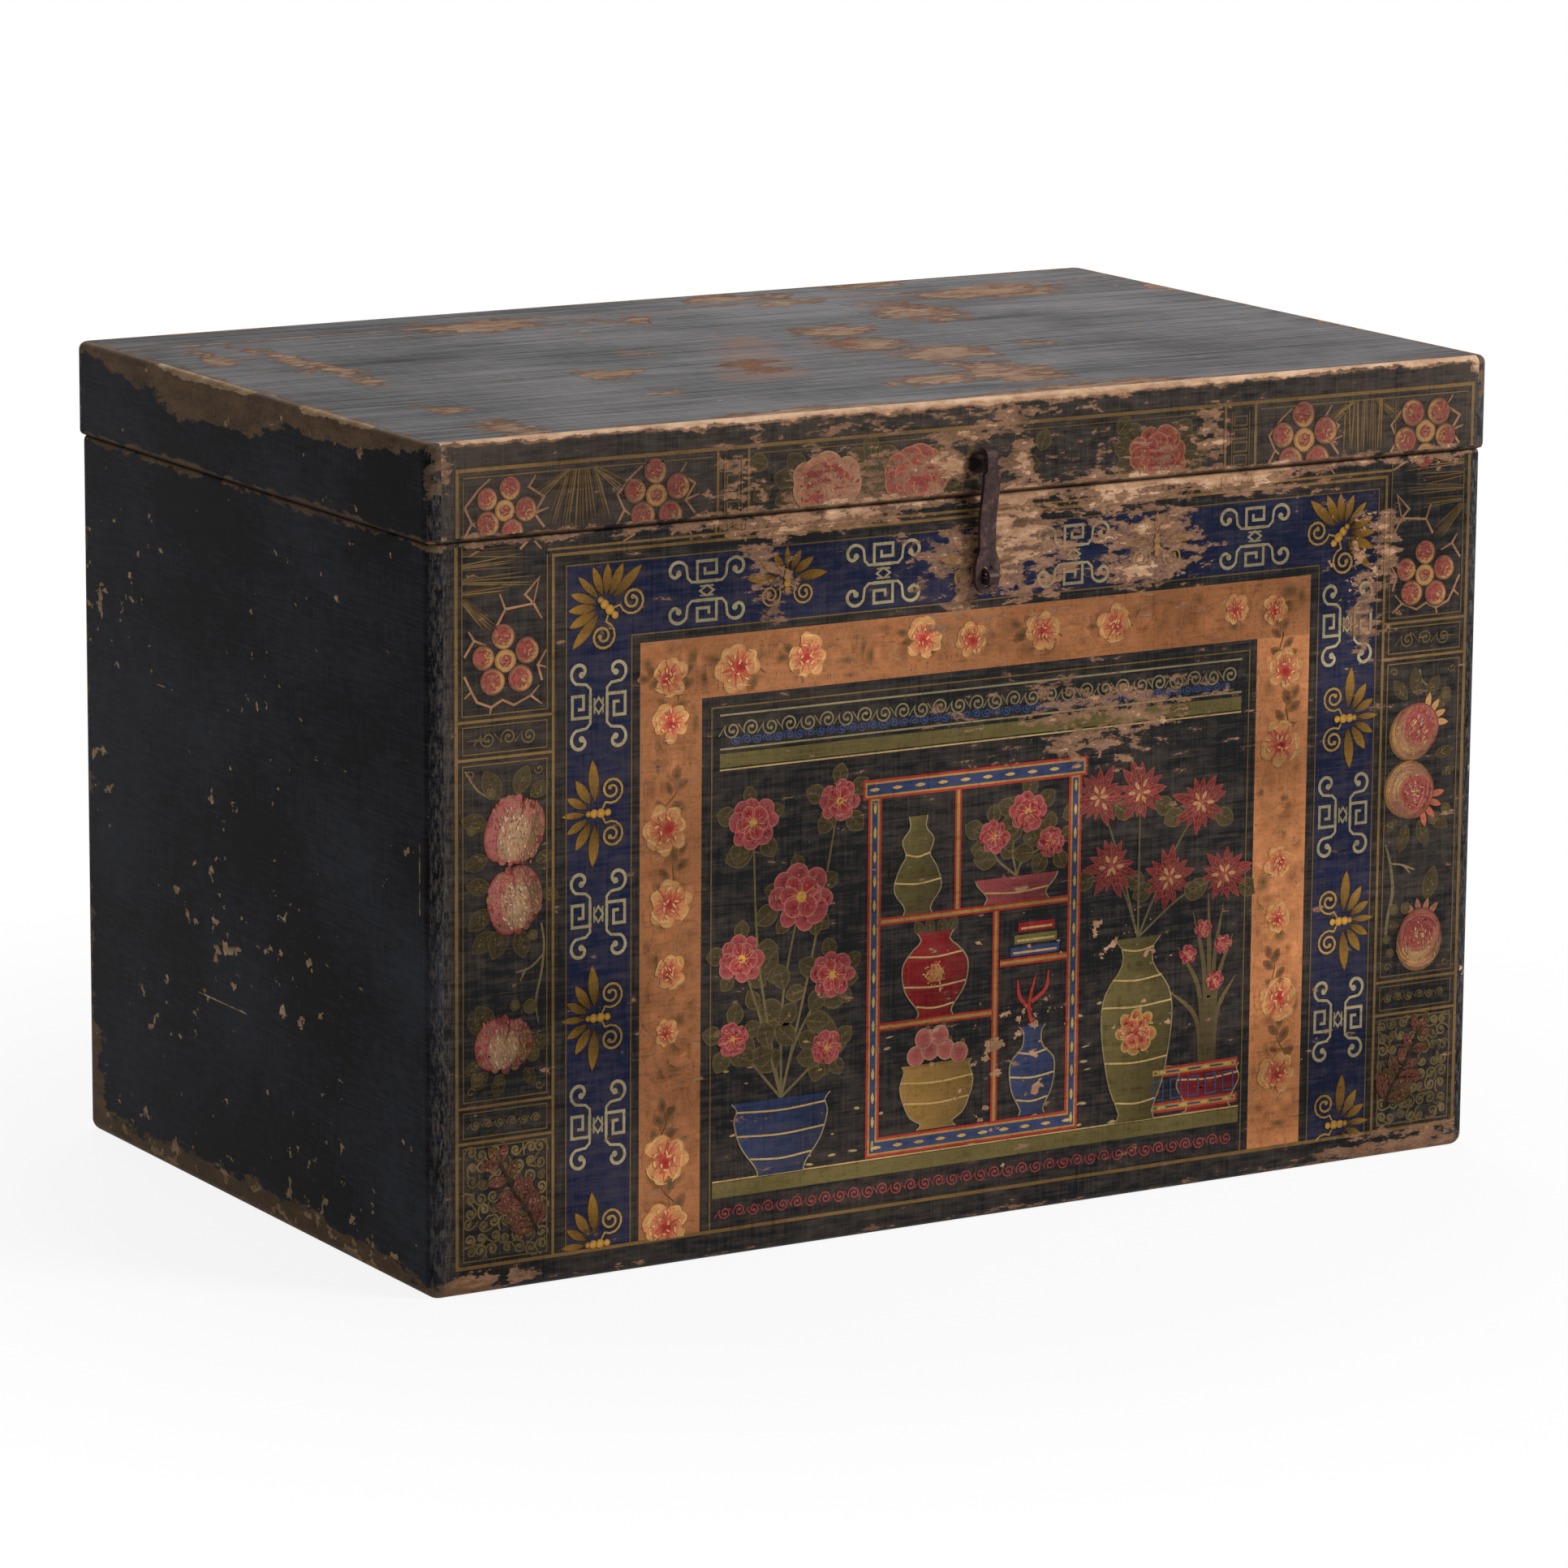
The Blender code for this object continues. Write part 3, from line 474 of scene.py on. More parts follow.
def aged_finish(name, face, patches, chipped, lacquer, haze, stains_and_shadows=None, painted=False):
    """The finish of one side: 'front' and 'top' have the grain along X, 'side' along Y."""
    kind = FACES[face]
    material, principled, shade = finish_named(name, 0.5, kind["specular"])
    x, y, z = axes_of(shade)
    along, across, depth = {"front": (x, z, y), "side": (y, z, x), "top": (x, y, z)}[face]

    def grain(scales, detail, rough):
        return noise(shade, stretched(shade, along, across, depth, scales), detail, rough)

    drifts = grain(kind["drift"], 5.0, 0.6)
    ragged = grain((75, 190, 75), 5.0, 0.62)
    flecks = grain((340, 460, 340), 4.0, 0.7)
    where = stretched(shade, along, across, depth, (20, 34, 20))
    sway = shade.make("TexNoise", out=1, Vector=where, Scale=1.0, Detail=5.0, Roughness=0.62)
    level = drifts * 0.7 + ragged * kind["ragged"] + flecks * kind["flecks"]
    level = level + rubbed(shade, along, across, patches, sway, kind["sway"])
    level = level + (0.5 - (0.7 + kind["ragged"] + kind["flecks"]) / 2)
    seam = abs(z - SEAM_HEIGHT).rise(0.008, 0.001, 0.0, 0.3)
    rim = z.rise(RIM_START, RIM_END)
    if face == "top":
        edge = (HALF_WIDTH - abs(x)).least(HALF_DEPTH - abs(y))
        joint = abs(y - TOP_JOINT).rise(0.0034, 0.0010, 0.0, 0.34)
        level = level + edge.rise(0.016, 0.001, 0.0, 0.34).most(joint)
    elif face == "side":
        corner = (0.254 - y).rise(0.022, 0.004, 0.0, 0.26)
        foot = z.rise(0.022, 0.003, 0.0, 0.28)
        level = level + corner.most(foot).most(seam).most(rim * 0.22)
    else:
        foot = z.rise(0.012, 0.002, 0.0, 0.12)
        level = level + foot.most(seam).most(rim * 0.42)
    specks = grain((66, 80, 62), 4.0, 0.6)
    clusters = grain((9, 12, 9), 3.0, 0.55)
    chips = specks * 0.8 + clusters * 0.35 + rubbed(shade, along, across, chipped)
    wear = (level - kind["bare"]).most(chips).rise(WEAR_LIMIT, WEAR_LIMIT + 0.012)
    thinned = (ragged * 0.5 + flecks * 0.5).rise(0.3, 0.6, 0.35, 1.0)
    scuff = level.rise(SCUFF_LIMIT - 0.02, SCUFF_LIMIT + 0.03) * thinned

    fibre = grain((9, 300, 110), 6.0, 0.62)
    blotch = grain((30, 60, 30), 5.0, 0.66)
    # Towards the rim the bare wood is made paler: worn wood, and partly a painted highlight along the lid's
    # edge.
    bare = fibre * 0.35 + blotch * 0.5 + ragged * 0.45 + flecks * 0.2 - 0.25 + rim * kind["rim"]
    if face == "front":
        bare = bare - z.rise(0.035, 0.012, 0.0, 0.16)
    wood = shade.make("ValToRGB", {"stops": [(0.32, WOOD_DARK), (0.54, WOOD), (0.76, WOOD_PALE)]}, n0=bare)
    wood = wood.tinted(kind["wood"])
    threads = grain((30, 820, 30), 2.0, 0.5)
    cross_threads = grain((820, 30, 30), 2.0, 0.5)
    weave = threads + cross_threads
    cloud = grain((7, 10, 7), 4.0, 0.55)
    brushed = grain(kind["brush"], 6.0, 0.7)
    coat = black = plain(shade, lacquer)
    if painted:
        coat = shade.make("Attribute", {"attribute_name": "Paint"}, out=0)
        daubs = grain((120, 170, 120), 6.0, 0.72)
        coat = coat.toned((daubs * 0.8 + brushed * 0.2).rise(0.3, 0.7, 0.55, 1.4))
        thin = (daubs * 0.5 + brushed * 0.2 + weave * 0.35).rise(0.72, 0.90, 0.0, 0.85)
        coat = black.over(coat, thin)
        dirt = plain(shade, GRIME).toned(cloud.rise(0.3, 0.7, 0.75, 1.35))
        coat = coat.tinted(dirt)
    tone = (cloud - 0.5) * kind["cloud"] + (weave - 1) * 0.3 + (brushed - 0.5) * kind["lines"] + 0.5
    coat = coat.toned(tone.rise(0.35, 0.65, 0.6, 1.45))
    # Painted light: the top is made lighter towards its right end, nearer the key lamp.
    if face == "top":
        coat = coat.toned(x.rise(-0.4, 0.4, 0.84, 1.24))
    # Painted sheen: the sides are made lighter towards the top.
    if face == "side":
        coat = coat.toned(z.rise(0.15, 0.48, 0.95, 1.4))
    brown = plain(shade, kind["undercoat"]).toned((flecks * 0.3 + blotch * 0.9).rise(0.42, 0.78, 0.55, 1.5))
    share = kind["film"]
    film = brushed * 0.2 + ragged * (0.65 - share) + weave * 0.15 + cloud * share
    if face == "front":
        film = film + z.rise(0.478, 0.486, 0.0, 0.07)
    film = film.rise(0.53, 0.70, 0.0, haze)
    scratch = grain((5, 1300, 5), 2.0, 0.5).rise(0.70, 0.76, 0.0, 0.22)
    # The film is dust, and on the sides partly a painted sheen.
    dust_and_sheen_coat = plain(shade, kind["dust_and_sheen"]).over(coat, film.most(scratch))
    if face == "top":
        wear = wear * (ragged * 0.6 + blotch * 0.4).rise(0.36, 0.5, 0.55, 0.95)
    colour = wood.over(brown.over(dust_and_sheen_coat, scuff * 0.92), wear)
    if face != "top":
        # Painted shade: a dark line along the seam between lid and box.
        seam_shade = abs(z - SEAM_SHADE_HEIGHT).rise(0.0024, 0.0010, 0.0, 0.8)
        colour = plain(shade, PAINTED_SHADE).over(colour, seam_shade)
        if face == "front":
            turned_edge = (HALF_WIDTH - abs(x)).rise(0.024, 0.008)
        else:
            turned_edge = y.rise(-0.2452, -0.2468)
        grit = grain((520, 130, 520), 5.0, 0.75).rise(0.47, 0.62, 0.0, 0.55)
        colour = plain(shade, GRIT).over(colour, turned_edge * grit)
    # Dark patches: on the front, painted shadows of the hasp and its strap; on the top, a rusty stain.
    if stains_and_shadows:
        reach, share = (kind["sway"], 0.7) if face == "top" else ((0, 0), 0.9)
        stain_and_shadow = (rubbed(shade, along, across, stains_and_shadows, sway, reach) + ragged * 0.3).rise(0.35, 0.5)
        if face == "top":
            stain_and_shadow = stain_and_shadow * (blotch * 0.6 + ragged * 0.4).rise(0.38, 0.56, 0.25, 1.0)
        colour = plain(shade, kind["stain"]).over(colour, stain_and_shadow * share)
    into(principled, "Base Color", colour)
    into(principled, "Roughness", (cloud * 0.2 + brushed * 0.2 + 0.32).most(wear * 0.8).most(scuff * 0.7))
    if kind["coat"]:
        sheen = (brushed * 1.2 + cloud * 0.6 - 0.9).rise(-0.4, 0.4, 0.0, 2 * kind["coat"])
        # The coat is made stronger towards the right end as well, with the painted light.
        sheen = sheen * x.rise(-0.4, 0.4, 0.78, 1.3)
        into(principled, "Coat Weight", sheen * (1 - scuff) * (1 - wear))
        principled.inputs["Coat Roughness"].default_value = 0.34
    height = fibre * 0.3 * wear - wear * 0.9 - scuff * 0.35 + weave * 0.14 + brushed * 0.2
    into(principled, "Normal", shade.make("Bump", Strength=0.6, Distance=0.0005, Height=height))
    return material


print("recipes for", ", ".join(FACES))

# %% [markdown]
# ## Where it is worn
# Each patch has its middle and half size in millimetres across the face, and how far gone it is. On
# the front the hasp's swing, the lid's edge and the feet took the most. On the top things were set
# down and dragged, and a spill left a rusty trail. The back is worn at its hinges and its foot only,
# and the right side has the left side's finish.

# %% Where it is worn
FRONT_WEAR = {
    "lid edge, middle": (40, 547, 320, 11, 0.42),
    "lid edge, left": (-260, 547, 160, 9, 0.28),
    "lid edge, right": (330, 548, 90, 9, 0.26),
    "lid, under the edge": (-30, 534, 200, 12, 0.19),
    "lid corner, left": (-398, 526, 16, 24, 0.36),
    "lid corner, right": (397, 538, 14, 16, 0.38),
    "right edge, high": (399, 472, 10, 16, 0.38),
    "right edge": (400, 425, 7, 50, 0.34),
    "lid by the left divider": (-180, 506, 34, 26, 0.24),
    "lid by the right divider": (178, 508, 30, 26, 0.30),
    "lid, left of the hasp": (-22, 502, 20, 24, 0.34),
    "lid, right of the hasp": (26, 502, 22, 26, 0.33),
    "lid, over the hasp": (0, 524, 60, 12, 0.26),
    "beside the hasp": (26, 450, 36, 56, 0.44),
    "left of the strap": (-13, 430, 13, 36, 0.46),
    "round the hasp": (8, 440, 100, 70, 0.20),
    "under the seam, left": (-115, 475, 110, 10, 0.30),
    "under the seam, right": (160, 473, 205, 16, 0.275),
    "blue band, left": (-160, 446, 30, 46, 0.27),
    "blue band, middle": (50, 436, 44, 50, 0.26),
    "blue band, right": (130, 438, 74, 46, 0.30),
    "right corner": (322, 432, 20, 34, 0.32),
    "right corner, low": (306, 375, 26, 50, 0.31),
    "right corner, round": (312, 400, 46, 90, 0.15),
    "lid blooms": (-80, 500, 130, 36, 0.21),
    "lid, right": (110, 500, 120, 34, 0.15),
    "top of the picture": (95, 326, 150, 52, 0.20),
    "left foot": (-376, 6, 34, 11, 0.40),
    "left foot, inner": (-334, 8, 18, 6, 0.34),
    "right foot": (370, 8, 150, 26, 0.22),
    "right foot, corner": (392, 4, 110, 15, 0.26),
}
FRONT_CHIPS = {"all over": (0, 250, 900, 900, 0.05), "picture": (40, 150, 260, 170, 0.15),
               "picture, top": (90, 320, 160, 60, 0.14), "column": (300, 420, 70, 70, 0.16)}
# Painted shadows: round the hasp's staple, and the strap's shadow to its left.
FRONT_PAINTED_SHADOWS = {"round the hasp staple": (-2, 504, 14, 13, 0.5), "behind the strap": (-6, 482, 9, 26, 0.26)}
SIDE_WEAR = {
    "lid edge": (62, 562, 178, 54, 0.9),
    "lid edge, back": (215, 556, 70, 20, 0.7),
    "lid edge, front": (-130, 552, 140, 30, 0.8),
    "lid corner": (-250, 530, 9, 22, 0.46),
    "foot": (0, 0, 290, 34, 0.32),
    "foot, back": (240, 40, 24, 60, 0.34),
    "back corner": (250, 130, 14, 60, 0.36),
}
SIDE_CHIPS = {"all over": (0, 250, 1200, 1200, 0.12), "low": (30, 120, 420, 300, 0.155),
              "foot": (0, 10, 400, 60, 0.21), "back": (225, 300, 60, 260, 0.16),
              "scratch by the corner": (-236, 265, 1.3, 70, 0.32), "scratch, low": (40, 132, 80, 1.2, 0.30),
              "scratch, high": (120, 330, 50, 1.1, 0.32), "scratch, middle": (-120, 320, 50, 1.0, 0.28)}
TOP_WEAR = {
    "joint, left": (-130, 182, 75, 36, 0.50),
    "by the joint": (-30, 163, 26, 30, 0.45),
    "back, middle": (98, 222, 46, 26, 0.46),
    "back, right": (207, 228, 30, 18, 0.46),
    "joint, middle": (115, 183, 50, 18, 0.42),
    "joint, right": (268, 163, 85, 40, 0.50),
    "right of the middle": (170, 105, 46, 72, 0.42),
    "middle, back": (76, 48, 56, 44, 0.42),
    "middle": (-58, -64, 30, 46, 0.34),
    "middle, right": (58, -18, 48, 52, 0.40),
    "middle, left": (-160, -50, 24, 42, 0.38),
    "front, right": (82, -75, 58, 42, 0.46),
    "front edge, right": (74, -163, 46, 76, 0.44),
    "front edge, middle": (10, -170, 46, 40, 0.44),
    "spot, left": (-166, -141, 18, 18, 0.42),
    "spot, right": (166, -65, 22, 24, 0.42),
    "left, outer": (-355, 130, 14, 75, 0.42),
    "left, inner": (-316, 60, 18, 150, 0.42),
    "left, front": (-331, -130, 20, 28, 0.42),
    "left corner": (-327, -215, 26, 55, 0.42),
    "front rim, left": (-130, -246, 80, 24, 0.50),
    "front rim, right": (90, -246, 100, 26, 0.50),
    "right rim": (396, 127, 18, 36, 0.45),
}
TOP_CHIPS = {"all over": (0, 0, 900, 900, 0.12)}
TOP_STAIN = {"lower end": (-74, -96, 56, 46, 0.42), "low": (-56, -60, 46, 58, 0.42),
             "middle": (-36, -20, 46, 60, 0.40), "upper end": (-8, 30, 38, 58, 0.38),
             "beside it, right": (40, 4, 44, 36, 0.36), "beside it, left": (-100, 24, 32, 48, 0.34)}
BACK_WEAR = {"foot": (0, 4, 420, 18, 0.28), "left hinge": (-260, 478, 40, 24, 0.3),
             "right hinge": (260, 478, 40, 24, 0.3)}
BACK_CHIPS = {"all over": (0, 250, 900, 900, 0.12)}
front_places = "front", FRONT_WEAR, FRONT_CHIPS, LACQUER
front_lacquer = aged_finish("worn_lacquer_front", *front_places, 0.34, FRONT_PAINTED_SHADOWS)
front_paint = aged_finish("worn_paint_front", *front_places, 0.24, FRONT_PAINTED_SHADOWS, True)
side_lacquer = aged_finish("worn_lacquer_side", "side", SIDE_WEAR, SIDE_CHIPS, LACQUER_SIDE, 0.42)
back_lacquer = aged_finish("worn_lacquer_back", "front", BACK_WEAR, BACK_CHIPS, LACQUER_SIDE, 0.16)
top_lacquer = aged_finish("worn_lacquer_top", "top", TOP_WEAR, TOP_CHIPS, LACQUER_TOP_AND_SHEEN, 0.30, TOP_STAIN)
SKIN_FINISH = {"front": front_lacquer, "back": back_lacquer, "left": side_lacquer, "right": side_lacquer,
               "top": top_lacquer}
for skin in (box_skin, lid_skin):
    for side, piece in skin.items():
        piece.data.materials.clear()
        piece.data.materials.append(SKIN_FINISH[side])
print("aged finishes", [m.name for m in bpy.data.materials if m.name.startswith("worn")])

# %% [markdown]
# ## Wood, bamboo and iron of the frame
# With the lid open the boards show bare: softwood, darkened, with long grain. Its figure is a set of
# growth rings, swayed by a slow noise, and it starts anew above the joint of the wall boards. The
# CAD nodes keep their meshes and only get these finishes, picked by the record's slots. Boards of
# the short sides and rails have their grain along Y, the others along X.

# %% Wood, bamboo and iron
WALL_JOINT = 0.2416


def bare_wood(name, along_y, dark, mid, pale, fine=1.0):
    material, principled, shade = finish_named(name, 0.72, 0.25)
    x, y, z = axes_of(shade)
    along, across = (y, x) if along_y else (x, y)
    board = z.rise(WALL_JOINT - 0.0002, WALL_JOINT + 0.0002, 0.0, 2.3)
    sway = noise(shade, stretched(shade, along + board, across, z, (1.1, 3.2, 3.2)), 2.0, 0.45)
    rings = (across * 34 + z * 36 + sway * 13) * fine
    turn = rings.math("FRACT", rings)
    bands = turn * turn
    streaks = noise(shade, stretched(shade, along, across, z, (1.8 * fine, 95, 95)), 4.0, 0.62)
    fibre = noise(shade, stretched(shade, along, across, z, (10 * fine, 420, 420)), 5.0, 0.6)
    stain = noise(shade, stretched(shade, along, across, z, (3.5, 8, 8)), 5.0, 0.62)
    tone = 0.67 - bands * 0.16 + (streaks - 0.5) * 0.55 + (fibre - 0.5) * 0.35 + (stain - 0.5) * 0.6
    colour = shade.make("ValToRGB", {"stops": [(0.36, dark), (0.60, mid), (0.84, pale)]}, n0=tone)
    into(principled, "Base Color", colour)
    into(principled, "Roughness", fibre * 0.3 + 0.58)
    relief = fibre + bands * 0.3
    into(principled, "Normal", shade.make("Bump", Strength=0.35, Distance=0.0004, Height=relief))
    return material


def forged_iron(name):
    material, principled, shade = finish_named(name, 0.55, 0.18)
    place = shade.make("TexCoord", out=3)
    lumps = shade.make("TexNoise", Vector=place, Scale=180.0, Detail=5.0, Roughness=0.6)
    rust = shade.make("TexNoise", Vector=place, Scale=420.0, Detail=6.0, Roughness=0.7)
    patina = (lumps * 0.55 + rust * 0.45).rise(0.44, 0.62)
    colour = shade.make("ValToRGB", {"stops": [(0.0, hue(48, 34, 34)), (0.6, hue(68, 49, 46)),
                                               (1.0, hue(98, 68, 58))]}, n0=patina)
    into(principled, "Base Color", colour)
    into(principled, "Metallic", patina.rise(0.0, 1.0, 0.2, 0.0))
    into(principled, "Roughness", patina.rise(0.0, 1.0, 0.42, 0.7))
    into(principled, "Normal", shade.make("Bump", Strength=0.4, Distance=0.0004, Height=lumps + rust * 0.4))
    return material


SOFTWOOD = hue(86, 62, 43), hue(130, 97, 68), hue(164, 130, 96)
wood_long = bare_wood("old_softwood_long", False, *SOFTWOOD)
wood_short = bare_wood("old_softwood_short", True, *SOFTWOOD)
plank_wood = bare_wood("old_plank", False, hue(78, 57, 41), hue(118, 90, 64), hue(150, 119, 88))
bamboo = bare_wood("shaved_bamboo", False, hue(128, 98, 58), hue(168, 134, 84), hue(196, 164, 112), 2.5)
iron = forged_iron("forged_iron")
slot_of = {part["node"]: part["material_slot"] for part in frame["record"]["subparts"]}
for name, node in frame["nodes"].items():
    short = "left" in name or "right" in name
    wood = wood_short if short else wood_long
    finish = {"painted_wood": wood, "bare_wood": plank_wood, "bamboo": bamboo, "iron": iron}[slot_of[name]]
    node.data.materials.clear()
    node.data.materials.append(finish)
print("finished", len(frame["nodes"]), "CAD nodes")

# %% [markdown]
# ## Brush marks
# The ornament is a few thousand strokes of thick old paint. Each is a thin plate of its own: a dab
# copied from one disc pattern (a circle, inset twice and poked, so that its colour can fade from
# rim to heart), or a strip of quads laid along a path, because no operator follows a free-hand line
# without a window. A sheet collects marks in the order they are painted. A motif that repeats is
# painted once on a sheet of its own and stamped where it recurs.

# %% Brush marks
MM = 0.001
LEVEL = 0.12
SLIP = 0.004
SLIPS = 29
hand = random.Random(5)


def disc_pattern(points, insets):
    bpy.ops.object.select_all(action="DESELECT")
    bpy.ops.mesh.primitive_circle_add(vertices=points, radius=1, fill_type="NGON")
    disc = bpy.context.object
    bpy.ops.object.mode_set(mode="EDIT")
    for width in insets:
        bpy.ops.mesh.inset(thickness=width)
    bpy.ops.mesh.poke()
    bpy.ops.object.mode_set(mode="OBJECT")
    spots = np.array([v.co[:2] for v in disc.data.vertices])
    faces = [tuple(f.vertices) for f in disc.data.polygons]
    bpy.data.objects.remove(disc)
    return spots, faces


WIDE_DISC = disc_pattern(20, (0.16, 0.38))
SMALL_DISC = disc_pattern(9, (0.16, 0.38))
TOUCH_DISC = disc_pattern(7, ())


def paint(red, green, blue):
    return np.array(hue(red, green, blue)[:3])


class Sheet:
    """Brush marks in millimetres across the face, in the order they are painted."""

    def __init__(self):
        self.marks = []

    def lay(self, flat, faces, paints, level):
        self.marks.append((flat, faces, paints * (0.92 + 0.16 * hand.random()), level))

    def dab(self, x, z, wide, tall, paints, turn=0.0, level=2, tip=0.0, base=0.0, fade=None,
            pattern=None):
        """A disc of half sizes wide and tall, pointed at its tip or base. Its paints are one colour,
        or three for rim, body and heart, and fade is the colour of its base."""
        largest = max(wide, tall)
        fitting = WIDE_DISC if largest > 4.5 else SMALL_DISC if largest > 2.4 else TOUCH_DISC
        disc, faces = pattern or fitting
        u, v = disc[:, 0], disc[:, 1].clip(-1, 1)
        reach = np.hypot(u, v)
        narrow = (1 - v * v) ** (0.5 * np.where(v > 0, tip, base))
        across, up = u * narrow * wide, v * tall
        c, s = math.cos(math.radians(turn)), math.sin(math.radians(turn))
        flat = np.column_stack([x + across * c - up * s, z + across * s + up * c])
        rim, body, heart = paints if isinstance(paints, tuple) else (paints, paints, paints)
        stops = np.array([heart, 0.5 * (heart + body), body, rim])
        colours = np.column_stack([np.interp(reach, (0, 0.46, 0.84, 1), stops[:, k]) for k in range(3)])
        if fade is not None:
            share = (0.5 - 0.5 * v)[:, None]
            colours = colours * (1 - share) + fade * share
        self.lay(flat, faces, colours, level)

    def strip(self, path, wide, start, end=None, level=2, ends=(1, 1), shaded=1.0):
        """A stroke along a path. ends says how wide its start and end are, as shares of its middle."""
        path = np.array(path, float)
        count = len(path)
        steps = np.diff(path, axis=0)
        steps = steps / np.maximum(np.hypot(steps[:, 0], steps[:, 1]), 1e-6)[:, None]
        before = np.vstack([steps[:1], steps])
        after = np.vstack([steps, steps[-1:]])
        along = before + after
        along = along / np.maximum(np.hypot(along[:, 0], along[:, 1]), 1e-6)[:, None]
        mitre = np.maximum((along * before).sum(1), 0.5)
        run = np.linspace(0, 1, count)
        half = 0.5 * np.broadcast_to(wide, count) / mitre
        half = half * np.interp(run, (0, 0.35, 0.65, 1), (ends[0], 1, 1, ends[1]))
        side = np.column_stack([-along[:, 1], along[:, 0]]) * half[:, None]
        flat = np.vstack([path - side, path + side])
        faces = [(k, k + 1, count + k + 1, count + k) for k in range(count - 1)]
        end = start if end is None else end
        colours = start + (end - start) * run[:, None]
        self.lay(flat, faces, np.vstack([colours * shaded, colours]), level)

    def bar(self, x0, z0, x1, z1, colour, level=1):
        """A straight-edged field between two corners."""
        self.strip([(x0, (z0 + z1) / 2), (x1, (z0 + z1) / 2)], abs(z1 - z0), colour, level=level)

    def frame(self, x0, z0, x1, z1, wide, colour, level=2):
        """A drawn rectangle."""
        middle = ((x0 + x1) / 2, z0)
        self.strip([middle, (x1, z0), (x1, z1), (x0, z1), (x0, z0), middle], wide, colour, level=level)

    def curl(self, x, z, radius, start, turns, wide, colour, lead=(), level=2, eye=1.0, tight=0.22):
        """A volute that winds in to an eye, with a lead-in path before it."""
        run = np.linspace(0, 1, 12 + int(8 * abs(turns)))
        angle = math.radians(start) + run * turns * 2 * math.pi
        reach = radius * (1 - (1 - tight) * run)
        path = np.column_stack([x + reach * np.cos(angle), z + reach * np.sin(angle)])
        if len(lead):
            path = np.vstack([np.array(lead, float), path])
        self.strip(path, wide, colour, level=level, ends=(0.7, 0.9))
        if eye:
            self.dab(*path[-1], wide * eye, wide * eye, colour, level=level)

    def stamp(self, motif, x, z, turn=0.0, size=1.0, flip=False):
        """Copies a motif to a place, turned, sized and mirrored."""
        c, s = math.cos(math.radians(turn)) * size, math.sin(math.radians(turn)) * size
        grip = np.array([[-c, -s], [-s, c]]) if flip else np.array([[c, s], [-s, c]])
        tint = 0.9 + 0.2 * hand.random()
        for flat, faces, paints, level in motif.marks:
            kept = [face[::-1] for face in faces] if flip else faces
            self.marks.append((flat @ grip + (x, z), kept, paints * tint, level))


def bow(points, count=14):
    """A smooth path through a few points."""
    knots = np.array(points, float)
    knots = np.vstack([2 * knots[0] - knots[1], knots, 2 * knots[-1] - knots[-2]])
    spans = len(points) - 1
    path = []
    for step in np.linspace(0, spans, count):
        k = min(int(step), spans - 1)
        f = step - k
        a, b, c, d = knots[k:k + 4]
        path.append(0.5 * (2 * b + (c - a) * f + (2 * a - 5 * b + 4 * c - d) * f ** 2
                           + (3 * b - a - 3 * c + d) * f ** 3))
    return np.array(path)


def around(angle, reach):
    return reach * math.cos(math.radians(angle)), reach * math.sin(math.radians(angle))


print("disc patterns", [len(disc[1]) for disc in (WIDE_DISC, SMALL_DISC, TOUCH_DISC)], "faces")

# %% [markdown]
# ## From sheet to painted piece
# A finished sheet is pressed on its plane as a mesh with a colour for each corner, every mark a hair
# above the last one, and cut straight at the lid's seam with bisect. Solidify, weighted by each
# mark's height, brings every plate down to the lacquer, so that no stroke floats. A map seen
# straight from the front is laid out too, with the hidden backs and edges folded away in a narrow
# strip below it.

# %% From sheet to painted piece
FRONT_PLANE = BOX_LOW.y - COAT_GAP - COAT
LID_PLANE = LID_LOW.y - COAT_GAP - COAT
PAINT_ROOT = 0.02
SPARE = 0.05
SPARE_TOP = SPARE * 1.2


